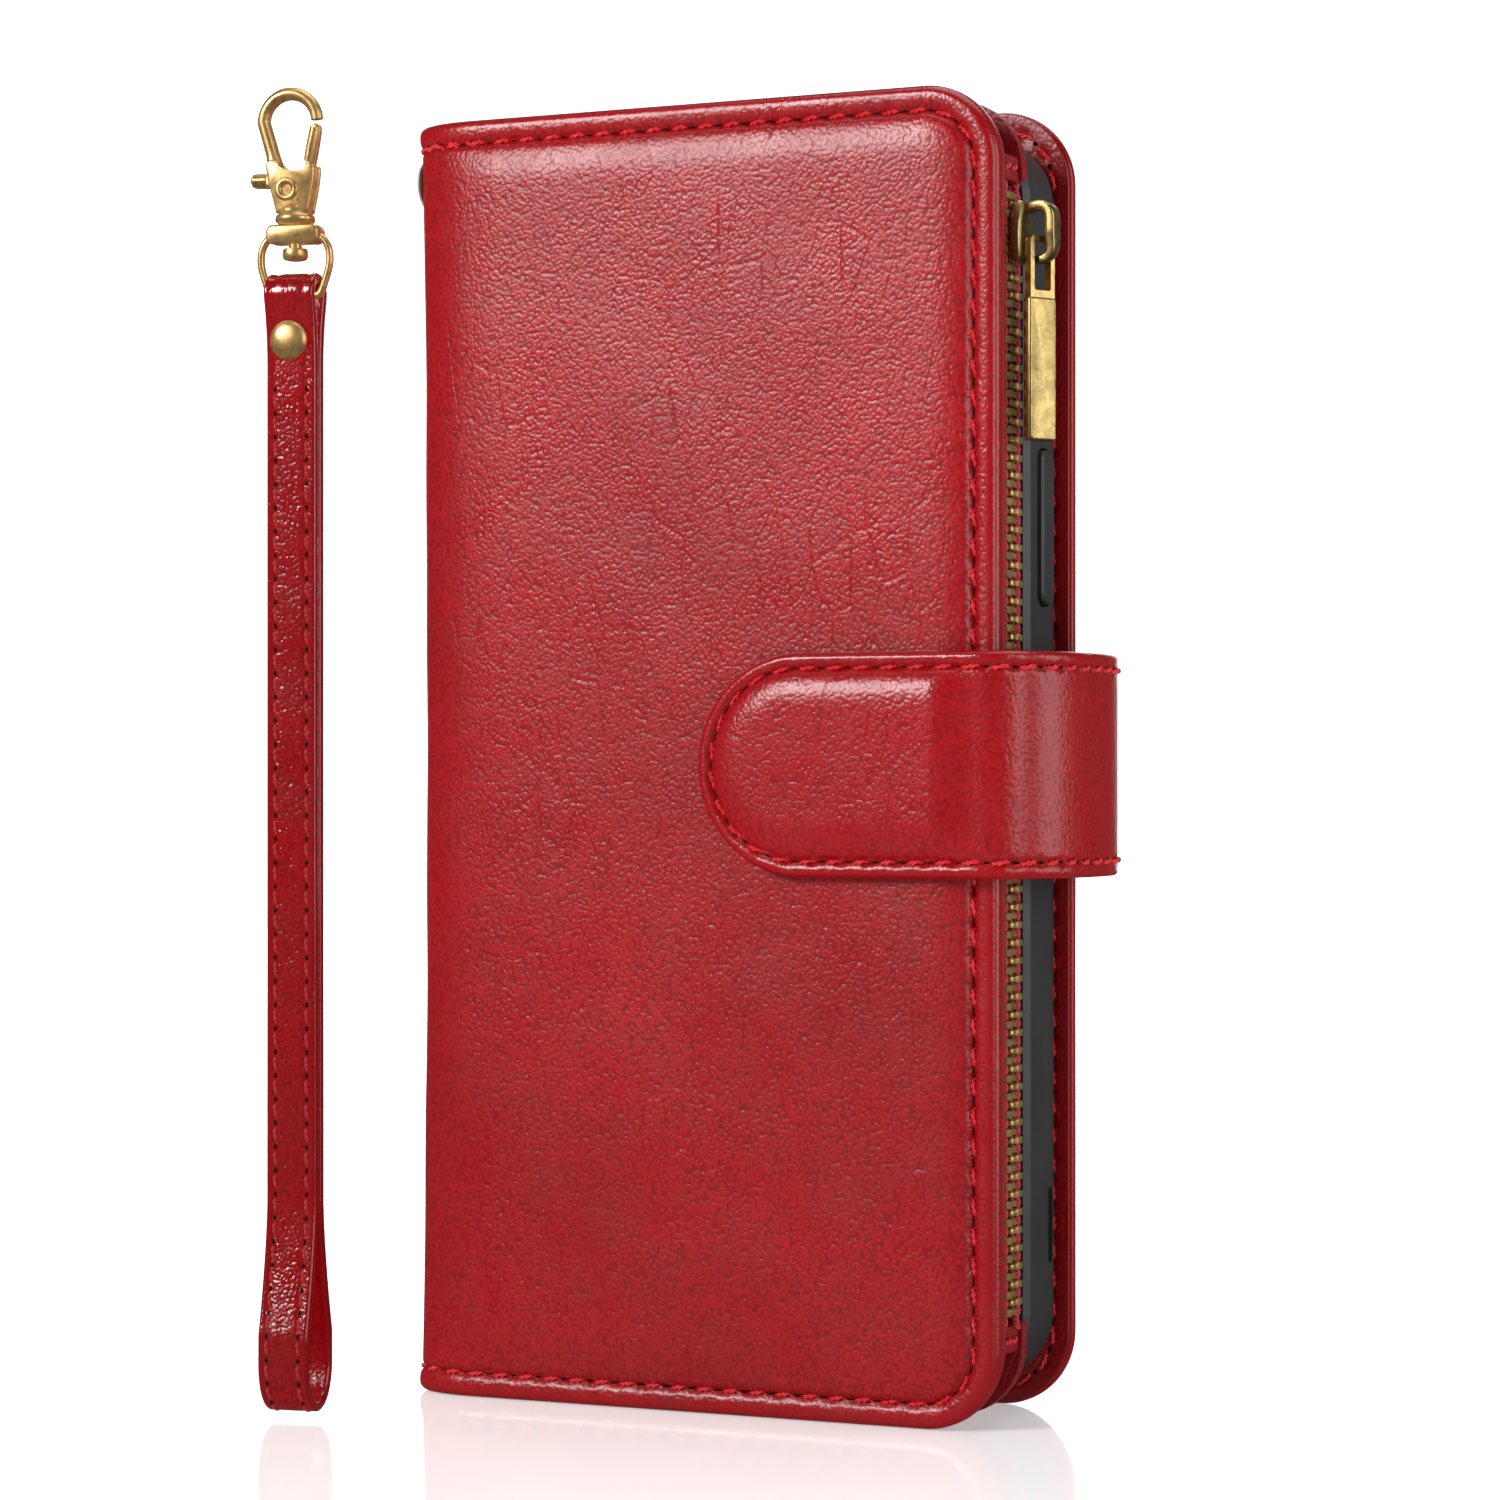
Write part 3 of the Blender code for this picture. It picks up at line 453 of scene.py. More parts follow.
def track(points, side):
    """A path in X and Y: its length, and a function giving places and outward normals along it."""
    points = np.array(points, float)
    dense = [points[:1]]
    for a, b in zip(points, points[1:]):
        steps = max(1, int(np.linalg.norm(b - a) / 0.25))
        dense.append(a + (b - a) * (np.arange(1, steps + 1) / steps)[:, None])
    dense = np.vstack(dense)
    along = run_along(dense)
    ways = np.gradient(dense, along, axis=0)

    def at(s):
        x, y, u, v = (np.interp(s, along, column) for column in (*dense.T, *ways.T))
        size = np.hypot(u, v)
        return x, y, side * v / size, -side * u / size

    return along[-1], at


def edge_rings(corner, edge, thick, skin, turned, fine=0.3, coarse=0.85, reach=4.4):
    """(inset, drop) of each ring: the outer face, over the rolled edge, and back under the skin."""
    outer = [(inset, 0.0) for inset in np.linspace(corner, reach, max(2, int((corner - reach) / coarse)))]
    outer += [(inset, 0.0) for inset in np.linspace(reach, edge, max(2, int((reach - edge) / fine)))[1:]]
    outer += [(edge * (1 - sin(a)), edge * (1 - cos(a))) for a in np.linspace(0, pi / 2, 7)[1:]]
    lower = min(edge, thick - edge) * 0.5
    outer += [(0.0, thick - lower - 0.01)]
    outer += [(lower * (1 - sin(a)), thick - lower * (1 + cos(a))) for a in np.linspace(pi / 2, pi, 4)[1:]]
    count = len(outer) - 1
    if skin >= thick:
        return outer, [(inset, thick) for inset in np.linspace(corner, lower, count + 1)]
    inside = [(inset, skin) for inset in np.linspace(corner, turned, count - 1)]
    return outer, inside + [(turned, thick), (lower, thick)]


class Sheet:
    """A ply of leather: it follows a track, stands between two heights, and its far end is rounded."""

    def __init__(self, points, side, heights, corner, rings, lift, wear):
        self.length, self.at = track(points, side)
        self.low, self.high = heights
        self.corner = corner
        self.outer, self.inner = rings
        self.thick = self.inner[-1][1]
        self.pierced = None
        self.lift = lift or (lambda s, z, d: 0.0 * s)
        self.wear = wear

    def place(self, s, z, d, drop=0.0):
        """Places at a length, height and distance from the edge, some way below the outer face."""
        x, y, u, v = self.at(s)
        under = drop > self.thick - 0.02
        rise = np.where(under, 0.0, self.lift(s, z, d) + self.gathers(s, z)) - drop
        return np.stack([x + u * rise, y + v * rise, z], -1)

    def gathers(self, s, z, depth=0.3, width=0.6):
        """The dimple that each stitch pulls in round its needle holes."""
        if self.pierced is None:
            return 0.0 * s
        places = np.stack([s, z, 0.0 * s], -1).reshape(-1, 3)
        apart = np.array([self.pierced.find(place)[2] for place in places]).reshape(s.shape)
        return -depth * np.exp(-((apart / width) ** 2))

    def grid(self, rings, columns, rows):
        """Places and the numbers behind them of one face's grid: flat, then ring by ring to the edge."""
        count = len(rings) - 1
        steps = np.arange(1, count + 1)
        flat_s = np.linspace(0, self.length - self.corner, columns)
        flat_z = np.linspace(self.low + self.corner, self.high - self.corner, rows)
        ring_c = np.concatenate([np.zeros(columns, int), steps])
        ring_r = np.concatenate([steps[::-1], np.zeros(rows, int), steps])
        sign = np.repeat([-1.0, 0.0, 1.0], [count, rows, count])
        kc, kr = np.meshgrid(ring_c, ring_r)
        s, z = np.meshgrid(np.pad(flat_s, (0, count), "edge"), np.pad(flat_z, count, "edge"))
        k = np.maximum(kc, kr)
        inset, drop = (np.array([ring[part] for ring in rings])[k] for part in (0, 1))
        reach = self.corner - inset
        turn = pi / 4 * np.minimum(kc, kr) / np.maximum(k, 1)
        turn = np.where(kc >= kr, turn, pi / 2 - turn)
        s = s + np.where(kc > 0, reach * np.cos(turn), 0.0)
        z = z + np.where(kr > 0, sign[:, None] * reach * np.sin(turn), 0.0)
        near = np.minimum(np.minimum(z - self.low, self.high - z), self.length - s)
        d = np.where(k > 0, inset, near)
        return self.place(s, z, d, drop), s, z, d, k, drop

    def build(self, name, material, step=(0.9, 0.7)):
        """The closed mesh of both faces, with its leather coordinates and wear."""
        columns = max(3, int((self.length - self.corner) / step[0]))
        rows = max(2, int((self.high - self.low - 2 * self.corner) / step[1]))
        front, s, z, d, k, drop = self.grid(self.outer, columns, rows)
        back, s2, z2, d2, _, drop2 = self.grid(self.inner, columns, rows)
        index = np.arange(k.size).reshape(k.shape)
        keep = k < len(self.outer) - 1
        under = index.copy()
        under[keep] = k.size + np.arange(keep.sum())
        points = np.vstack([front.reshape(-1, 3), back[keep]])
        grain = np.vstack([np.stack([s, z, drop], -1).reshape(-1, 3), np.stack([s2, z2, drop2], -1)[keep]])
        worn = np.concatenate([self.wear(s, z, d).ravel(), self.wear(s2, z2, d2)[keep]])

        def quads(grid):
            return np.stack([grid[:-1, :-1], grid[:-1, 1:], grid[1:, 1:], grid[1:, :-1]], -1).reshape(-1, 4)

        cap = np.stack([index[:-1, 0], index[1:, 0], under[1:, 0], under[:-1, 0]], -1)
        faces = np.vstack([quads(index), quads(under)[:, ::-1], cap]).tolist()
        faces = [face for face in (list(dict.fromkeys(face)) for face in faces) if len(face) > 2]
        return mesh_object(name, points, faces, material, {"leather": grain * MM, "wear": worn})

    def seam_line(self, inset, step=0.25):
        """A seam at an inset: along the bottom, up the rounded end and back along the top."""
        radius = self.corner - inset
        flat = self.length - self.corner
        low, high = self.low + self.corner, self.high - self.corner
        straight = np.arange(0.0, flat, step)
        turns = np.linspace(0, pi / 2, 40)
        bottom = [(s, self.low + inset) for s in straight]
        bottom += [(flat + radius * sin(a), low - radius * cos(a)) for a in turns]
        side = [(self.length - inset, z) for z in np.arange(low, high, step)]
        top = [(flat + radius * cos(a), high + radius * sin(a)) for a in turns]
        top += [(s, self.high - inset) for s in straight[::-1]]
        return np.array(bottom + side + top)

    def pierce(self, inset):
        """Sets the needle holes of a seam, and gives the seam's places and normals."""
        line = self.seam_line(inset)
        run = run_along(line)
        holes = np.linspace(0, run[-1], max(1, round(run[-1] / STITCH)) + 1)
        self.pierced = KDTree(len(holes))
        for number, (s, z) in enumerate(read_at(holes, run, line)):
            self.pierced.insert((s, z, 0.0), number)
        self.pierced.balance()
        s, z = line[:, 0], line[:, 1]
        _, _, u, v = self.at(s)
        return self.place(s, z, np.full(len(line), float(inset))), np.stack([u, v, np.zeros_like(u)], -1)


def sew(name, seam, pitch, slant=0.16, height=0.2, radius=0.19, pierce=1.0, yarn=THREAD):
    """A row of stitches: each a two-ply twisted thread between needle holes, drawn as dark discs of painted
    shade.
    """
    places, normals = seam
    along = run_along(places)
    count = max(1, round(along[-1] / pitch))
    pitch = along[-1] / count

    def at(t):
        place, normal = read_at(t, along, places), read_at(t, along, normals)
        way = read_at(t + 0.1, along, places) - read_at(t - 0.1, along, places)
        way /= np.maximum(np.linalg.norm(way, axis=-1, keepdims=True), 1e-9)
        return place, normal, way, np.cross(normal, way)

    share = np.linspace(0, 1, 9)
    arch = np.sin(pi * share) ** 0.55
    thin = radius * (0.55 + 0.45 * arch)
    ring = angles(6)
    solids = Solids()
    for stitch in range(count):
        place, normal, way, side = at((stitch + 0.18 + 0.64 * share) * pitch)
        middle = place + normal * ((height + radius) * arch - 0.12)[:, None]
        middle = middle + side * (slant * np.sin(pi * (share - 0.5)))[:, None]
        for ply in (0, 1):
            twist = 2 * pi * 1.25 * share + pi * ply
            core = middle + (normal * np.cos(twist)[:, None] + side * np.sin(twist)[:, None]) * 0.7 * radius
            solids.rings([[core[i] + thin[i] * (normal[i] * cos(a) + side[i] * sin(a)) for a in ring]
                          for i in range(len(share))])
    sewn = solids.object(name, yarn, sharp=60)
    # Near-black discs at each needle hole: painted shade of the holes.
    hole_shades = Solids()
    for stitch in range(count + 1):
        place, normal, way, side = (value[0] for value in at(np.array([stitch * pitch])))
        oval = [0.46 * cos(a) * way + 0.34 * sin(a) * side for a in ring]
        hole_shades.rings([[place + normal * lift + size * pierce * spoke for spoke in oval]
                    for lift, size in ((-0.14, 0.5), (0.0, 0.95), (0.08, 0.85), (0.13, 0.4))])
    return sewn, hole_shades.object(name + "_hole_shades", HOLE_SHADE, sharp=60)


def pucker(d, inset, depth=0.3, width=0.42):
    """The dip that a tight seam pulls into the leather."""
    return -depth * np.exp(-(((d - inset) / width) ** 2))


def seam_dip(inset, depth, width):
    """The lift of a flat ply, with no relief but its seam's dip."""
    return lambda s, z, d: pucker(d, inset, depth, width)


def crown_of(share):
    """A quarter round rise from 0 to 1."""
    return np.sqrt(1 - (1 - np.clip(share, 0, 1)) ** 2)


def bead(d, inset, height=0.3):
    """The rolled rim that stands up between a seam and the edge."""
    return height * np.sin(pi * np.clip(d / inset, 0, 1)) ** 0.8


def uneven(places_s, places_z, scale, size, seed):
    """Slow unevenness of the hide, in millimetres."""
    flat = zip(places_s.ravel(), places_z.ravel())
    values = [noise.noise(Vector((s * scale, z * scale, seed))) for s, z in flat]
    return size * np.array(values).reshape(places_s.shape)


def edge_wear(width):
    """Wear that grows over the last millimetres before the edge."""
    return lambda s, z, d: np.clip(1.0 - d / width, 0.0, 1.0)


# Covers


def hollow(z):
    """How far the spine is drawn in, most at mid height."""
    return 0.42 - 1.7 * np.sin(pi * np.clip(z / HEIGHT, 0, 1)) ** 0.7


def front_lift(s, z, d):
    """Padding under the front cover, its stitched dip, and the spine drawn in at mid height."""
    pad = crown_of((d - STITCH_INSET - 0.2) / 5.0)
    crown = 1.25 * pad * soft((s - SPINE_RUN - 1.5) / 14.0)
    spine = hollow(z) * (1 - soft((s - SPINE_RUN + 3.0) / 8.0))
    slow = uneven(s, z, 0.07, 0.12, 3.0) * pad
    return crown + spine + bead(d, STITCH_INSET) + pucker(d, STITCH_INSET) + slow


def front_track():
    """Half the spine, a bend that slopes away from the front, and the front cover."""
    bend = [(SPINE_FACE + FRONT_SLOPE * (1 - cos(a)), RIM + FOLD_ROUND * (1 - sin(a))) for a in quarter(32)]
    return [(SPINE_FACE, MID_SPINE), *bend, (RIGHT, RIM)]


def backstitch(seam, reach=10.0):
    """The stretch of the top seam by the spine, where the machine sewed back over its thread."""
    places, normals = seam
    kept = (places[:, 2] > HEIGHT / 2) & (places[:, 0] > SPINE_LOW.x + 1.0)
    kept &= places[:, 0] < SPINE_LOW.x + reach
    return places[kept], normals[kept]


def front_cover():
    """The front's outer leather with half the spine, its seam and the sewn-back stitches."""
    rings = edge_rings(CORNER, 1.0, FRONT_HIGH.y - RIM, 0.6, 0.8)
    sheet = Sheet(front_track(), 1, (0.0, HEIGHT), CORNER, rings, front_lift, edge_wear(2.2))
    seam = sheet.pierce(STITCH_INSET)
    made = sheet.build("front_leather", OUTER, (0.6, 0.45))
    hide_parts("front_cover_leather")
    sewn = sew("front_stitches", seam, STITCH, pierce=1.3)
    sewn += sew("front_backstitch", backstitch(seam), STITCH * 0.7, slant=-0.24, height=0.42)
    for piece in (made, *sewn):
        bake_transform(piece)


def back_lift(s, z, d):
    """A thin pad under the back cover, its stitched dip, and the spine drawn in at mid height."""
    spine = hollow(z) * (1 - soft((s - BACK_RUN + 3.0) / 9.0))
    pad = soft((d - 2.4) / 3.0)
    return spine + 0.12 * pad + pucker(d, BACK_INSET, 0.14) + uneven(s, z, 0.06, 0.08, 9.0) * pad


def back_cover():
    """The back's outer leather with the other half of the spine, its seam and camera window."""
    bend = BACK_HIGH.y - FOLD_ROUND
    path = [(SPINE_FACE, MID_SPINE), (SPINE_FACE, bend)]
    path += arc((SPINE_FACE + FOLD_ROUND, bend), FOLD_ROUND, 180, 90)[1:]
    path += [(RIGHT, BACK_HIGH.y)]
    rings = edge_rings(CORNER, 0.75, BACK_HIGH.y - BACK_LOW.y, 0.7, 0.8)
    sheet = Sheet(path, -1, (0.0, HEIGHT), CORNER, rings, back_lift, edge_wear(2.0))
    seam = sheet.pierce(BACK_INSET)
    made = sheet.build("back_leather", OUTER, (0.9, 0.6))
    window(made)
    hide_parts("back_cover_leather", "spine_leather")
    sewn = sew("back_stitches", seam, STITCH)
    for piece in (made, *sewn):
        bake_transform(piece)


def window(obj):
    """Cuts the camera window through a ply."""
    x, z = ((low - CAMERA_MARGIN, high + CAMERA_MARGIN) for low, high in (CAMERA_X, CAMERA_Z))
    outline = rounded(x, z, CAMERA_ROUND + CAMERA_MARGIN, 10)
    tool = Solids().rings([[(u, y, v) for u, v in outline] for y in (-3.4, 4.0)]).object("cutter", OUTER)
    modifier = obj.modifiers.new("window", "BOOLEAN")
    modifier.operation = "DIFFERENCE"
    modifier.solver = "EXACT"
    modifier.object = tool
    graph = bpy.context.evaluated_depsgraph_get()
    cut = bpy.data.meshes.new_from_object(obj.evaluated_get(graph))
    obj.modifiers.remove(modifier)
    obj.data = cut
    bpy.data.objects.remove(tool)


def linings():
    """The plies behind the outer leather: the pocket's front wall and the back cover's lining."""
    for name, node, body, slot, narrower, edge, side, seam in (
        ("front_lining", "front_cover_lining", "front_cover", "leather", 0.3, 0.4, -1, None),
        ("back_lining", "back_cover_lining", "root", "lining", 0.2, 0.18, 1, BACK_INSET),
    ):
        low, high = span(node)
        y = high.y if side < 0 else low.y
        thick = high.y - low.y
        corner = CORNER - narrower
        rings = edge_rings(corner, edge, thick, thick, 0.0)
        lift = seam_dip(seam, 0.12, 0.4) if seam else None
        sheet = Sheet([(low.x, y), (high.x, y)], side, (low.z, high.z), corner, rings, lift, edge_wear(1.6))
        line = sheet.pierce(seam) if seam else None
        made = sheet.build(name, INNER, (1.2, 0.8))
        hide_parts(node)
        pieces = [made]
        if seam:
            window(made)
            pieces += sew(name + "_stitches", line, STITCH)
        for piece in pieces:
            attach(piece, body)


# Flap


def loop_path(end_x, end_y, sign, power):
    """Half of the flap's loop in X and Y, from its outermost place to where it lies flat."""
    half = abs(end_y - LOOP_MIDDLE)
    return [(end_x + (LOOP_HIGH.x - end_x) * max(cos(a), 0.0) ** power,
             LOOP_MIDDLE + sign * half * sin(a) ** power) for a in quarter(30)]


TIP_Y = TIP_LOW.y + FLAP_THICK
FRONT_LOOP = loop_path(FLAP_TURN, TIP_Y, -1, 0.96)
TIP_START = track(FRONT_LOOP, -1)[0]  # length of leather before the flat tip


def flap_lift(s, z, d):
    """The padded tip: it rises inside the stitches and stops at the crease before the loop."""
    pad = crown_of((d - 2.1) / 4.2)
    begin = soft((s - TIP_START + 0.6) / 5.4)
    return 1.75 * pad * begin + bead(d, FLAP_INSET, 0.2) + pucker(d, FLAP_INSET, 0.25, 0.38)


def flap():
    """The flap's leather in two pieces that meet at the loop's outermost place."""
    heights = (LOOP_LOW.z, LOOP_HIGH.z)
    round_end = (heights[1] - heights[0]) / 2 - 0.01
    rings = edge_rings(round_end, 0.75, FLAP_THICK, FLAP_THICK, 0.0, fine=0.26, coarse=0.6)
    path = FRONT_LOOP + [(TIP_LOW.x, TIP_Y)]
    front = Sheet(path, -1, heights, round_end, rings, flap_lift, edge_wear(1.5))
    seam = front.pierce(FLAP_INSET)
    tip = front.build("flap_front_leather", FLAP, (0.4, 0.35))
    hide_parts("flap_tip_leather", "flap_tip_lining", "flap_loop_leather", "flap_loop_lining")
    for piece in (tip, *sew("flap_front_stitches", seam, STITCH, pierce=1.2)):
        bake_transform(piece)
    path = loop_path(BASE_HIGH.x + 0.3, BASE_HIGH.y, 1, 0.8) + [(BASE_LOW.x, BASE_HIGH.y)]
    rings = edge_rings(BASE_CORNER, 0.6, BASE_THICK, BASE_THICK, 0.0, fine=0.3, coarse=0.6)
    dip = seam_dip(FLAP_INSET, 0.14, 0.4)
    rear = Sheet(path, 1, heights, BASE_CORNER, rings, dip, edge_wear(1.5))
    seam = rear.pierce(FLAP_INSET)
    base = rear.build("flap_back_leather", FLAP, (0.6, 0.6))
    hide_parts("flap_base")
    for piece in (base, *sew("flap_back_stitches", seam, STITCH)):
        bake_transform(piece)


# Zip


def zip_teeth():
    """Two rows of cast teeth clamped on the tapes' corded edges."""
    sections = (  # Y from the zip's middle, half height, and how far its front and back lie below the face
        (2.45, 0.34, 0.3, 1.35), (2.35, 0.42, 0.08, 1.62), (1.15, 0.45, 0.0, 1.7), (0.85, 0.43, 0.03, 1.6),
        (0.62, 0.33, 0.12, 1.45), (-0.1, 0.34, 0.1, 1.45), (-0.72, 0.33, 0.14, 1.4),
        (-0.85, 0.24, 0.28, 1.25),
    )
    stretch = (REAR_HIGH.y - ZIP_Y) / 2.5
    face = CHAIN_HIGH.x
    for name, node, side, low in (
        ("front_teeth", "zip_teeth_front", -1, CHAIN_LOW.z + FIRST_TOOTH),
        ("rear_teeth", "zip_teeth_rear", 1, CHAIN_LOW.z + FIRST_TOOTH + TOOTH_PITCH / 2),
    ):
        solids = Solids()
        tooth = 0
        while low + tooth * TOOTH_PITCH < REAR_HIGH.z - 0.5:
            z = low + TOOTH_MIDDLE + tooth * TOOTH_PITCH
            rings = []
            for y, tall, top, deep in sections:
                outline = rounded((face - deep, face - top), (z - tall, z + tall), 0.14, 3)
                rings.append([(u, ZIP_Y + side * y * stretch, v) for u, v in outline])
            solids.rings(rings)
            nib = rounded((face - 0.95, face - 0.35), (z - 0.16, z + 0.16), 0.12, 2)
            solids.rings([[(u, ZIP_Y + side * y, v + rise) for u, v in nib]
                          for y, rise in ((-0.45, 0.42), (-0.2, 0.48), (0.05, 0.42))])
            tooth += 1
        row = solids.object(name, LIT_BRASS, sharp=50)
        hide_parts(node)
        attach(row, "front_cover")


def zip_tape():
    """Corded tape edges under the teeth, thinner under each tooth and swelling between one tooth and the
    next.
    """
    face = CHAIN_HIGH.x - 0.85
    levels = np.arange(CHAIN_LOW.z - 1.4, REAR_HIGH.z + 1.6, 0.265)
    for name, node, side in (("front_cord", "zip_tape_front", -1), ("rear_cord", "zip_tape_rear", 1)):
        first = CHAIN_LOW.z + FIRST_TOOTH + TOOTH_MIDDLE + (TOOTH_PITCH / 2 if side > 0 else 0.0)
        swell = [0.56 - 0.13 * cos(2 * pi * (z - first) / TOOTH_PITCH) for z in levels]
        path = [(face, ZIP_Y + side * CORD_Y, z) for z in levels]
        cord = Solids().tube(path, [(r, r) for r in swell], 10).object(name, TAPE, sharp=60)
        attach(cord, "front_cover")
        paint(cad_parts[node], TAPE)


def slider():
    """The slider's faceted plate, and the ribbed bail arching over it."""
    (face, _, low), (reach, _, high) = span("zip_slider")
    middle = (low + high) / 2
    solids = Solids()
    right = [(1.9, low), (2.25, low + 0.5), (2.45, middle), (2.2, middle + 1.2), (1.5, high - 0.3),
             (1.2, high)]
    outline = right + [(-y, z) for y, z in right[::-1]]
    levels = ((0.0, 0.97), (0.12, 1.0), (0.85, 1.0), (1.05, 0.95), (1.25, 0.78), (1.3, 0.7))
    solids.rings([[(face + level, ZIP_Y + y * share, middle + (z - middle) * (0.5 + 0.5 * share))
                   for y, z in outline] for level, share in levels])
    foot = face + 1.0
    steps = 44
    bail = curve([
        (foot, high - 1.0), (foot + 1.2, high - 0.62), (reach - 1.5, high - 0.62),
        (reach - 0.62, high - 1.5), (reach - 0.5, middle), (reach - 0.62, low + 1.3),
        (reach - 1.6, low + 0.35), (foot + 0.9, low + 0.45), (foot, low + 0.9),
    ], steps)
    wide = np.interp(np.linspace(0, 1, steps), [0, 0.2, 0.5, 0.75, 1], [1.05, 1.2, 1.2, 0.78, 0.6])
    inward = []
    for i in range(steps):
        way = bail[min(i + 1, steps - 1)] - bail[max(i - 1, 0)]
        inward.append(np.array([-way[1], way[0]]) / np.linalg.norm(way))
    rings = []
    for place, side, w in zip(bail, inward, wide):
        section = rounded((-0.5, 0.5), (-w, w), 0.22, 3)
        rings.append([(place[0] + side[0] * a, ZIP_Y + b, place[1] + side[1] * a) for a, b in section])
    solids.rings(rings)
    widest = wide[20]
    for edge in (0.32 - widest, widest - 0.32):
        rib = []
        for i in range(6, 34):
            x, z = bail[i] - inward[i] * 0.5
            rib.append((x, ZIP_Y + edge * wide[i] / widest, z))
        solids.tube(rib, (0.16, 0.2))
    body = solids.object("slider_body", SHADED_BRASS, sharp=35)
    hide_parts("zip_slider")
    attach(body, "zip_slider")


def puller():
    """Soft edges on the puller's frame, and the thicker plate below its window."""
    low, high = span("zip_puller")
    dress(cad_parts["zip_puller"], SHADED_BRASS, bevel=0.16)
    middle = (low + high) / 2 * Vector((1, 1, 0))
    turn = Matrix.Rotation(radians(-25.0), 3, "Z")
    foot, top = low.z - 0.05, high.z - 7.2
    rings = []
    for x, shrink in both_sides([(0.68, 0.3), (0.6, 0.1), (0.45, 0.0)]):
        outline = rounded((-2.15 + shrink, 2.15 - shrink), (foot + shrink, top - shrink), 0.35)
        rings.append([middle + turn @ Vector((x, y, z)) for y, z in outline])
    plate = Solids().rings(rings).object("puller_plate", SHADED_BRASS, sharp=50)
    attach(plate, "zip_puller")


def zip_ends():
    """Leather tabs that close the ends of the zip, each held by a short seam."""
    for node, name in (("zip_tab_top", "top_tab"), ("zip_tab_bottom", "bottom_tab")):
        dress(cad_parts[node], PLAIN, bevel=0.35)
        low, high = span(node)
        y = np.arange(low.y + 0.5, high.y - 0.45, 0.1)
        places = np.stack([np.full_like(y, high.x), y, np.full_like(y, (low.z + high.z) / 2)], -1)
        normals = np.tile([1.0, 0.0, 0.0], (len(y), 1))
        for piece in sew(name + "_stitches", (places, normals), 1.6):
            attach(piece, "front_cover")


def eyelet():
    """The strap's eyelet in the spine: a thin rolled flange outside, and its barrel."""
    low, high = span("strap_eyelet")
    middle = (low + high) / 2
    wide = (high.z - low.z) / 2
    bore, barrel, face = 1.6, 2.0, SPINE_FACE
    profile = [(wide, face + 0.1), (wide - 0.1, face - 0.22), (wide - 0.7, face - 0.4),
               (wide - 1.4, face - 0.3), (bore, face + 0.05), (bore, high.x), (barrel, high.x),
               (barrel, face + 0.1)]
    rings = [[(x, middle.y + r * cos(a), middle.z + r * sin(a)) for r, x in profile] for a in angles(40)]
    made = Solids().rings(rings, closed=True).object("eyelet_ring", STEEL, sharp=50)
    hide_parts("strap_eyelet")
    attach(made, "spine")


# Strap


def place_strap(obj):
    """Moves a piece modelled about the strap's own axis to where the strap hangs."""
    move = Matrix.Translation((STRAP_PLACE[0] * MM, STRAP_PLACE[1] * MM, 0))
    obj.data.transform(move @ Matrix.Rotation(STRAP_TURN, 4, "Z"))
    return obj


def half_gap(z):
    """Half the space between the strap's two runs."""
    head = 1.15 * max(0.0, (z - HEAD_Z) / (BAR_Z - HEAD_Z)) ** 2
    hand = 2.8 * max(0.0, min(1.0, (HAND_Z - z) / 16.0)) ** 1.5
    return 0.22 + head + hand


def band_path():
    """The band's inner face in Y and Z, a closed loop."""
    head = arc((0, BAR_Z), half_gap(BAR_Z), 0, 180, 14)
    levels = np.concatenate([
        np.linspace(134.1, SEAM_TOP, 12), np.linspace(123.0, 28.0, 110), np.linspace(27.0, FOOT_Z, 36)
    ])
    sides = [(half_gap(z), z) for z in levels]
    wide = half_gap(FOOT_Z)
    foot = [(-wide * cos(a), FOOT_Z - 4.4 * sin(a)) for a in np.linspace(0.2, pi - 0.2, 15)]
    return head + [(-y, z) for y, z in sides] + foot + sides[::-1]


def loop_ways(points):
    """Unit directions along a closed path."""
    ways = np.roll(points, -1, axis=0) - np.roll(points, 1, axis=0)
    return ways / np.linalg.norm(ways, axis=1)[:, None]


def strap():
    """The leather band: a soft rectangular section carried round the loop, stitched along both edges."""
    path = np.array(band_path())
    ways = loop_ways(path)
    outward = np.stack([ways[:, 1], -ways[:, 0]], 1)
    half = BAND_WIDTH / 2
    section = rounded((-half, half), (0.0, BAND), 0.42)
    dense = []
    for (u0, v0), (u1, v1) in zip(section, section[1:] + section[:1]):
        steps = max(1, int(abs(u1 - u0) / 0.35))
        dense += [(u0 + (u1 - u0) * i / steps, v0 + (v1 - v0) * i / steps) for i in range(steps)]
    rings, grain, worn = [], [], []
    for (y, z), (out_y, out_z), along in zip(path, outward, run_along(path)):
        ring = []
        for u, v in dense:
            dip = pucker(half - abs(u), STRAP_INSET, 0.14, 0.4) if v > BAND / 2 else 0.0
            ring.append((u, y + out_y * (v + dip), z + out_z * (v + dip)))
            grain.append((u * MM, along * MM, v * MM))
            worn.append(max(0.0, 1 - (half - abs(u))))
        rings.append(ring)
    skin = {"leather": np.array(grain), "wear": np.array(worn)}
    band = place_strap(Solids().rings(rings, closed=True).object("strap_band", STRAP, attributes=skin))
    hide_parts("strap_leather")
    pieces = [band]
    for side, name in ((-1, "front"), (1, "rear")):
        keep = (path[:, 1] < SEAM_TOP) & (path[:, 0] * side > 0)
        spots = path[keep] + outward[keep] * (BAND - 0.14)
        normals = np.insert(outward[keep], 0, 0.0, axis=1)
        for edge, hand in ((-1, "left"), (1, "right")):
            places = np.insert(spots, 0, edge * (half - STRAP_INSET), axis=1)
            sewn = sew(f"strap_stitches_{name}_{hand}", (places, normals), 2.8, slant=0.1, height=0.1,
                       radius=0.14, pierce=0.8, yarn=DARK_THREAD)
            pieces += [place_strap(piece) for piece in sewn]
    for piece in pieces:
        piece.visible_shadow = False
        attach(piece, "strap")


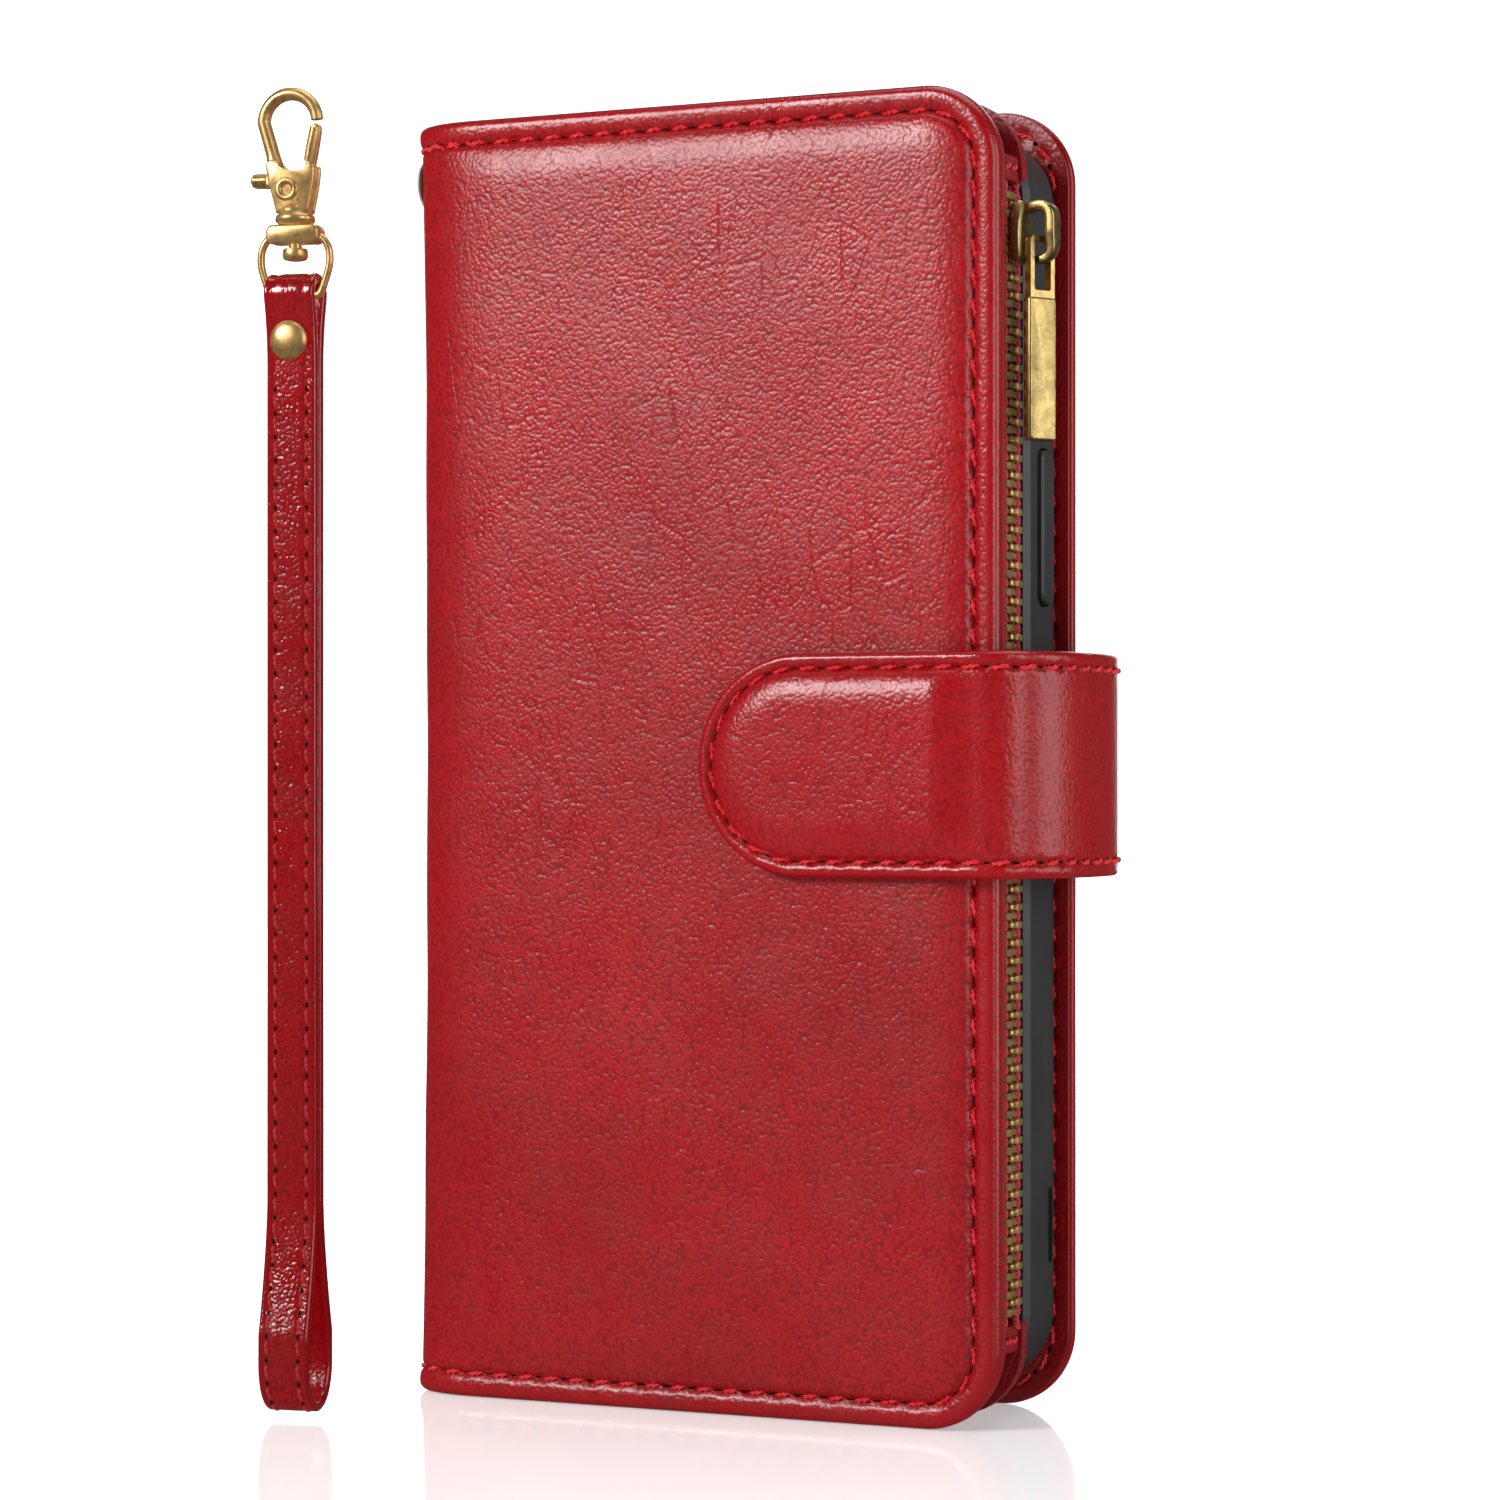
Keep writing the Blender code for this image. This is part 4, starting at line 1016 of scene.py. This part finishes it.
def inset_outline(outline, inset, depth):
    """A closed outline in X and Z drawn in by inset, at a depth in Y."""
    points = np.asarray(outline)
    ways = loop_ways(points)
    area = np.sum(points[:, 0] * np.roll(points[:, 1], -1) - np.roll(points[:, 0], -1) * points[:, 1])
    moved = points + np.stack([-ways[:, 1], ways[:, 0]], 1) * np.sign(area) * inset
    return [(x, depth, z) for x, z in moved]


def strap_metal():
    """The hook, its trigger and rivet, the swivel ring and the strap's domed rivet."""
    hook = Solids()
    arm = [(-2.3, 148.9), (-2.75, 150.8), (-3.35, 152.9), (-4.0, 155.1)]
    arm += arc((-0.6, 155.1), 3.4, 172, 4, 16)
    thick = np.interp(np.linspace(0, 1, 60), [0, 0.15, 0.8, 1], [1.05, 0.82, 0.78, 0.74])
    hook.tube([(x, 0, z) for x, z in curve(arm, 60)], [(t, t * 1.1) for t in thick], 18)
    cheek = curve([
        (-2.0, 144.1), (-2.5, 146.0), (-3.05, 148.0), (-3.3, 150.2), (-2.2, 150.5), (-1.5, 149.7),
        (-0.2, 149.2), (1.4, 149.25), (2.7, 149.9), (2.8, 148.4), (2.4, 146.0), (2.0, 144.1),
    ], 44)
    x0, z0 = cheek.mean(axis=0)
    for y in (-0.98, 0.98):
        hook.rings([[(x0 + (x - x0) * share, y + depth, z0 + (z - z0) * share) for x, z in cheek]
                    for depth, share in both_sides([(0.36, 0.93), (0.26, 0.985), (0.1, 1.0)])])
    collar = [(1.6, 142.75), (2.05, 142.85), (2.38, 143.15), (2.42, 143.5), (2.3, 143.85), (1.95, 144.1),
              (1.9, 144.5), (1.6, 145.1), (0.9, 145.4)]
    hook.turned((0, 0, 0), collar, (0, 0, 1))
    pin = [(0.8, 143.4), (0.78, 139.95), (1.4, 139.9), (1.52, 139.7), (1.52, 138.9), (1.35, 138.6),
           (0.8, 138.45)]
    hook.turned((0, 0, 0), pin, (0, 0, 1))

    lever = curve([
        (-5.7, 148.2), (-5.3, 149.0), (-3.2, 149.0), (-1.4, 148.6), (0.4, 148.7), (1.4, 150.0),
        (2.15, 154.5), (3.2, 154.6), (3.3, 153.6), (2.6, 149.8), (1.7, 146.9), (0.4, 145.8),
        (-1.5, 145.9), (-3.0, 147.1), (-5.2, 147.3), (-5.7, 148.2),
    ], 72)[:-1]
    levels = both_sides([(0.42, 0.16), (0.32, 0.04)])
    trigger = Solids().rings([inset_outline(lever, shrink, depth) for depth, shrink in levels])
    trigger.tube([(-5.2, 0, 148.15), (-3.6, 0, 148.15)], (0.82, 0.95), 16)
    gate = [(1.75, 0, 150.3), (2.05, 0, 151.6), (2.65, 0, 154.35)]
    trigger.tube(gate, [(0.62, 0.85), (0.72, 0.95), (0.72, 0.95)], 16)

    rim = [(1.42, 1.5), (1.45, 1.75), (1.3, 1.92), (1.0, 1.95), (0.72, 1.85), (0.6, 1.6)]
    profile = [(r, -y) for r, y in rim] + rim[::-1] + [(0.8, 1.4), (0.8, -1.4)]
    rings = [[(-0.5 + r * cos(a), y, 146.9 + r * sin(a)) for r, y in profile] for a in angles(32)]
    rivet = Solids().rings(rings, closed=True)

    rings = []
    for y, shrink in both_sides([(1.45, 0.28), (1.32, 0.08), (1.1, 0.0)]):
        outline = rounded((-3.35 + shrink, 3.35 - shrink), (140.45 + shrink, 142.75 - shrink), 0.85, 6)
        rings.append([(x, y, z) for x, z in outline])
    ring = Solids().rings(rings)
    bow = [(-2.7, 141.5), (-3.6, 141.0), (-4.25, 139.9), (-4.42, 138.5), (-4.2, 137.2), (-3.8, 136.0),
           (-3.45, 135.0), (-3.05, BAR_Z + 0.08), (-2.5, BAR_Z), (0.0, BAR_Z)]
    bow += [(-x, z) for x, z in bow[-2::-1]]
    ring.tube([(x, 0, z) for x, z in curve(bow, 90)], (0.46, 0.5), 14)

    face = half_gap(131.2) + BAND + 0.2
    dome = [(2.36 * cos(a), -face - 0.95 * sin(a)) for a in np.linspace(0.0, pi / 2 - 0.1, 12)[::-1]]
    back = [(1.1, face - 0.1), (2.0, face - 0.1), (2.15, face + 0.05), (1.9, face + 0.35), (0.9, face + 0.5),
            (0.2, face + 0.5)]
    cap = Solids().turned((0, 0, RIVET_Z), dome + [(2.2, 0.12 - face), (1.1, 0.12 - face)], (0, 1, 0), 44)
    cap.turned((0, 0, RIVET_Z), back, (0, 1, 0))
    cap.turned((0, 0, RIVET_Z), [(1.1, -face), (1.1, face)], (0, 1, 0), 24)
    for solids, name, node, body in (
        (hook, "hook_casting", "hook_body", "hook"),
        (trigger, "hook_lever", "hook_trigger", "hook_trigger"),
        (rivet, "hollow_rivet", "trigger_pin", "hook"),
        (ring, "swivel_casting", "swivel_ring", "swivel_ring"),
        (cap, "domed_rivet", "strap_rivet", "strap"),
    ):
        piece = place_strap(solids.object(name, LIT_BRASS, sharp=50))
        piece.visible_shadow = False
        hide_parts(node)
        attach(piece, body)


# Pieces that keep their CAD shape


def paint(node, material):
    """Gives a CAD node one material."""
    node.data.materials.clear()
    node.data.materials.append(material)


def dress(node, material, bevel=0.0):
    """Gives a CAD node its finish, and softens its edges."""
    paint(node, material)
    if bevel:
        modifier = node.modifiers.new("soft_edges", "BEVEL")
        modifier.width = bevel * MM
        modifier.segments = 3
        modifier.limit_method = "ANGLE"
        modifier.angle_limit = radians(35)
    node.data.shade_smooth()
    node.data.set_sharp_from_angle(angle=radians(38))


def carried_over():
    """Finishes the CAD nodes that no piece stands in for."""
    for material, names in (
        (RUBBER, ("phone_shell", "power_button", "volume_up_button", "volume_down_button")),
        (PLAIN, ("pocket_panel", "gusset_top", "gusset_bottom", "spine_lining")),
        (PLAIN, ("card_slot_upper", "card_slot_middle", "card_slot_lower")),
        (BOARD, ("back_cover_board", "front_cover_board", "shell_adhesive_pad", "flap_pad")),
        (FOAM, ("front_cover_foam",)),
        (STEEL, ("front_cover_magnet", "flap_magnet")),
    ):
        for name in names:
            dress(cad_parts[name], material)


# Studio


def area_light(name, place, size, power):
    """A soft light that faces the middle of the case."""
    data = bpy.data.lights.new(name, "AREA")
    data.shape = "RECTANGLE"
    data.size, data.size_y = size
    data.energy = power
    light = bpy.data.objects.new(name, data)
    light.location = place
    light.rotation_mode = "QUATERNION"
    aim = Vector((0.0, -0.012, 0.08)) - Vector(place)
    light.rotation_quaternion = aim.to_track_quat("-Z", "Y")
    bpy.context.scene.collection.objects.link(light)


def studio():
    """A pale glossy floor, a white backdrop and world, and four area lights."""
    scene = bpy.context.scene
    scene.view_settings.view_transform = "Standard"
    white = (1.0, 1.0, 1.0, 1.0)
    world = bpy.data.worlds.new("studio")
    world.use_nodes = True
    nodes, links = world.node_tree.nodes, world.node_tree.links
    backdrop = nodes["Background"]
    backdrop.inputs["Color"].default_value = white
    seen = nodes.new("ShaderNodeLightPath")
    strength = nodes.new("ShaderNodeMapRange")
    strength.inputs["To Min"].default_value = 0.07
    strength.inputs["To Max"].default_value = 1.05
    links.new(seen.outputs["Is Camera Ray"], strength.inputs["Value"])
    links.new(strength.outputs["Result"], backdrop.inputs["Strength"])
    scene.world = world
    gloss = Graph("floor_gloss", Roughness=0.06, IOR=1.5, Emission_Color=white)
    away = gloss.add("VectorMath", {0: gloss.place}, operation="LENGTH").outputs["Value"]
    gloss.drive("Emission Strength", gloss.ramp(away, 0.35, 1.3, 0.34, 1.0))
    gloss.colour(gloss.noise(2.0), (0.93, 0.93, 0.93), (0.96, 0.96, 0.96))
    size = 4000.0
    corners = [(-size, -size, 0), (size, -size, 0), (size, size, 0), (-size, size, 0)]
    floor = mesh_object("floor", corners, [(0, 1, 2, 3)], gloss.material)
    floor.location.z = -0.00005
    floor.visible_glossy = False
    glow = Graph("backdrop_white", Emission_Color=white, Emission_Strength=1.05)
    far, wide, tall = 1700.0, 700.0, 900.0
    x, y = -sin(VIEW_YAW) * far, cos(VIEW_YAW) * far
    across = (cos(VIEW_YAW) * wide, sin(VIEW_YAW) * wide)
    corners = [(x + side * across[0], y + side * across[1], z)
               for side, z in ((-1, 0.0), (1, 0.0), (1, tall), (-1, tall))]
    sweep = mesh_object("sweep", corners, [(0, 1, 2, 3)], glow.material)
    area_light("key", (-0.46, -0.86, 0.56), (0.36, 0.36), 10.0)
    area_light("side", (0.8, -0.3, 0.32), (0.25, 0.6), 2.2)
    area_light("rear", (0.75, 0.24, 0.22), (0.35, 0.6), 2.0)
    area_light("top", (0.05, 0.1, 0.8), (0.6, 0.6), 2.5)


def camera():
    """A level camera to the right of the front, as far off as the view's perspective says."""
    data = bpy.data.cameras.new("camera")
    data.lens, data.sensor_width = 102.8, 36.0
    data.shift_y = 0.0207
    data.clip_start, data.clip_end = 0.01, 100.0
    made = bpy.data.objects.new("camera", data)
    made.location = (0.2318, -0.4851, 0.0762)
    made.rotation_euler = (pi / 2, 0, VIEW_YAW)
    bpy.context.scene.collection.objects.link(made)
    bpy.context.scene.camera = made


camera()
studio()
front_cover()
back_cover()
linings()
flap()
zip_teeth()
zip_tape()
slider()
puller()
zip_ends()
eyelet()
strap()
strap_metal()
carried_over()
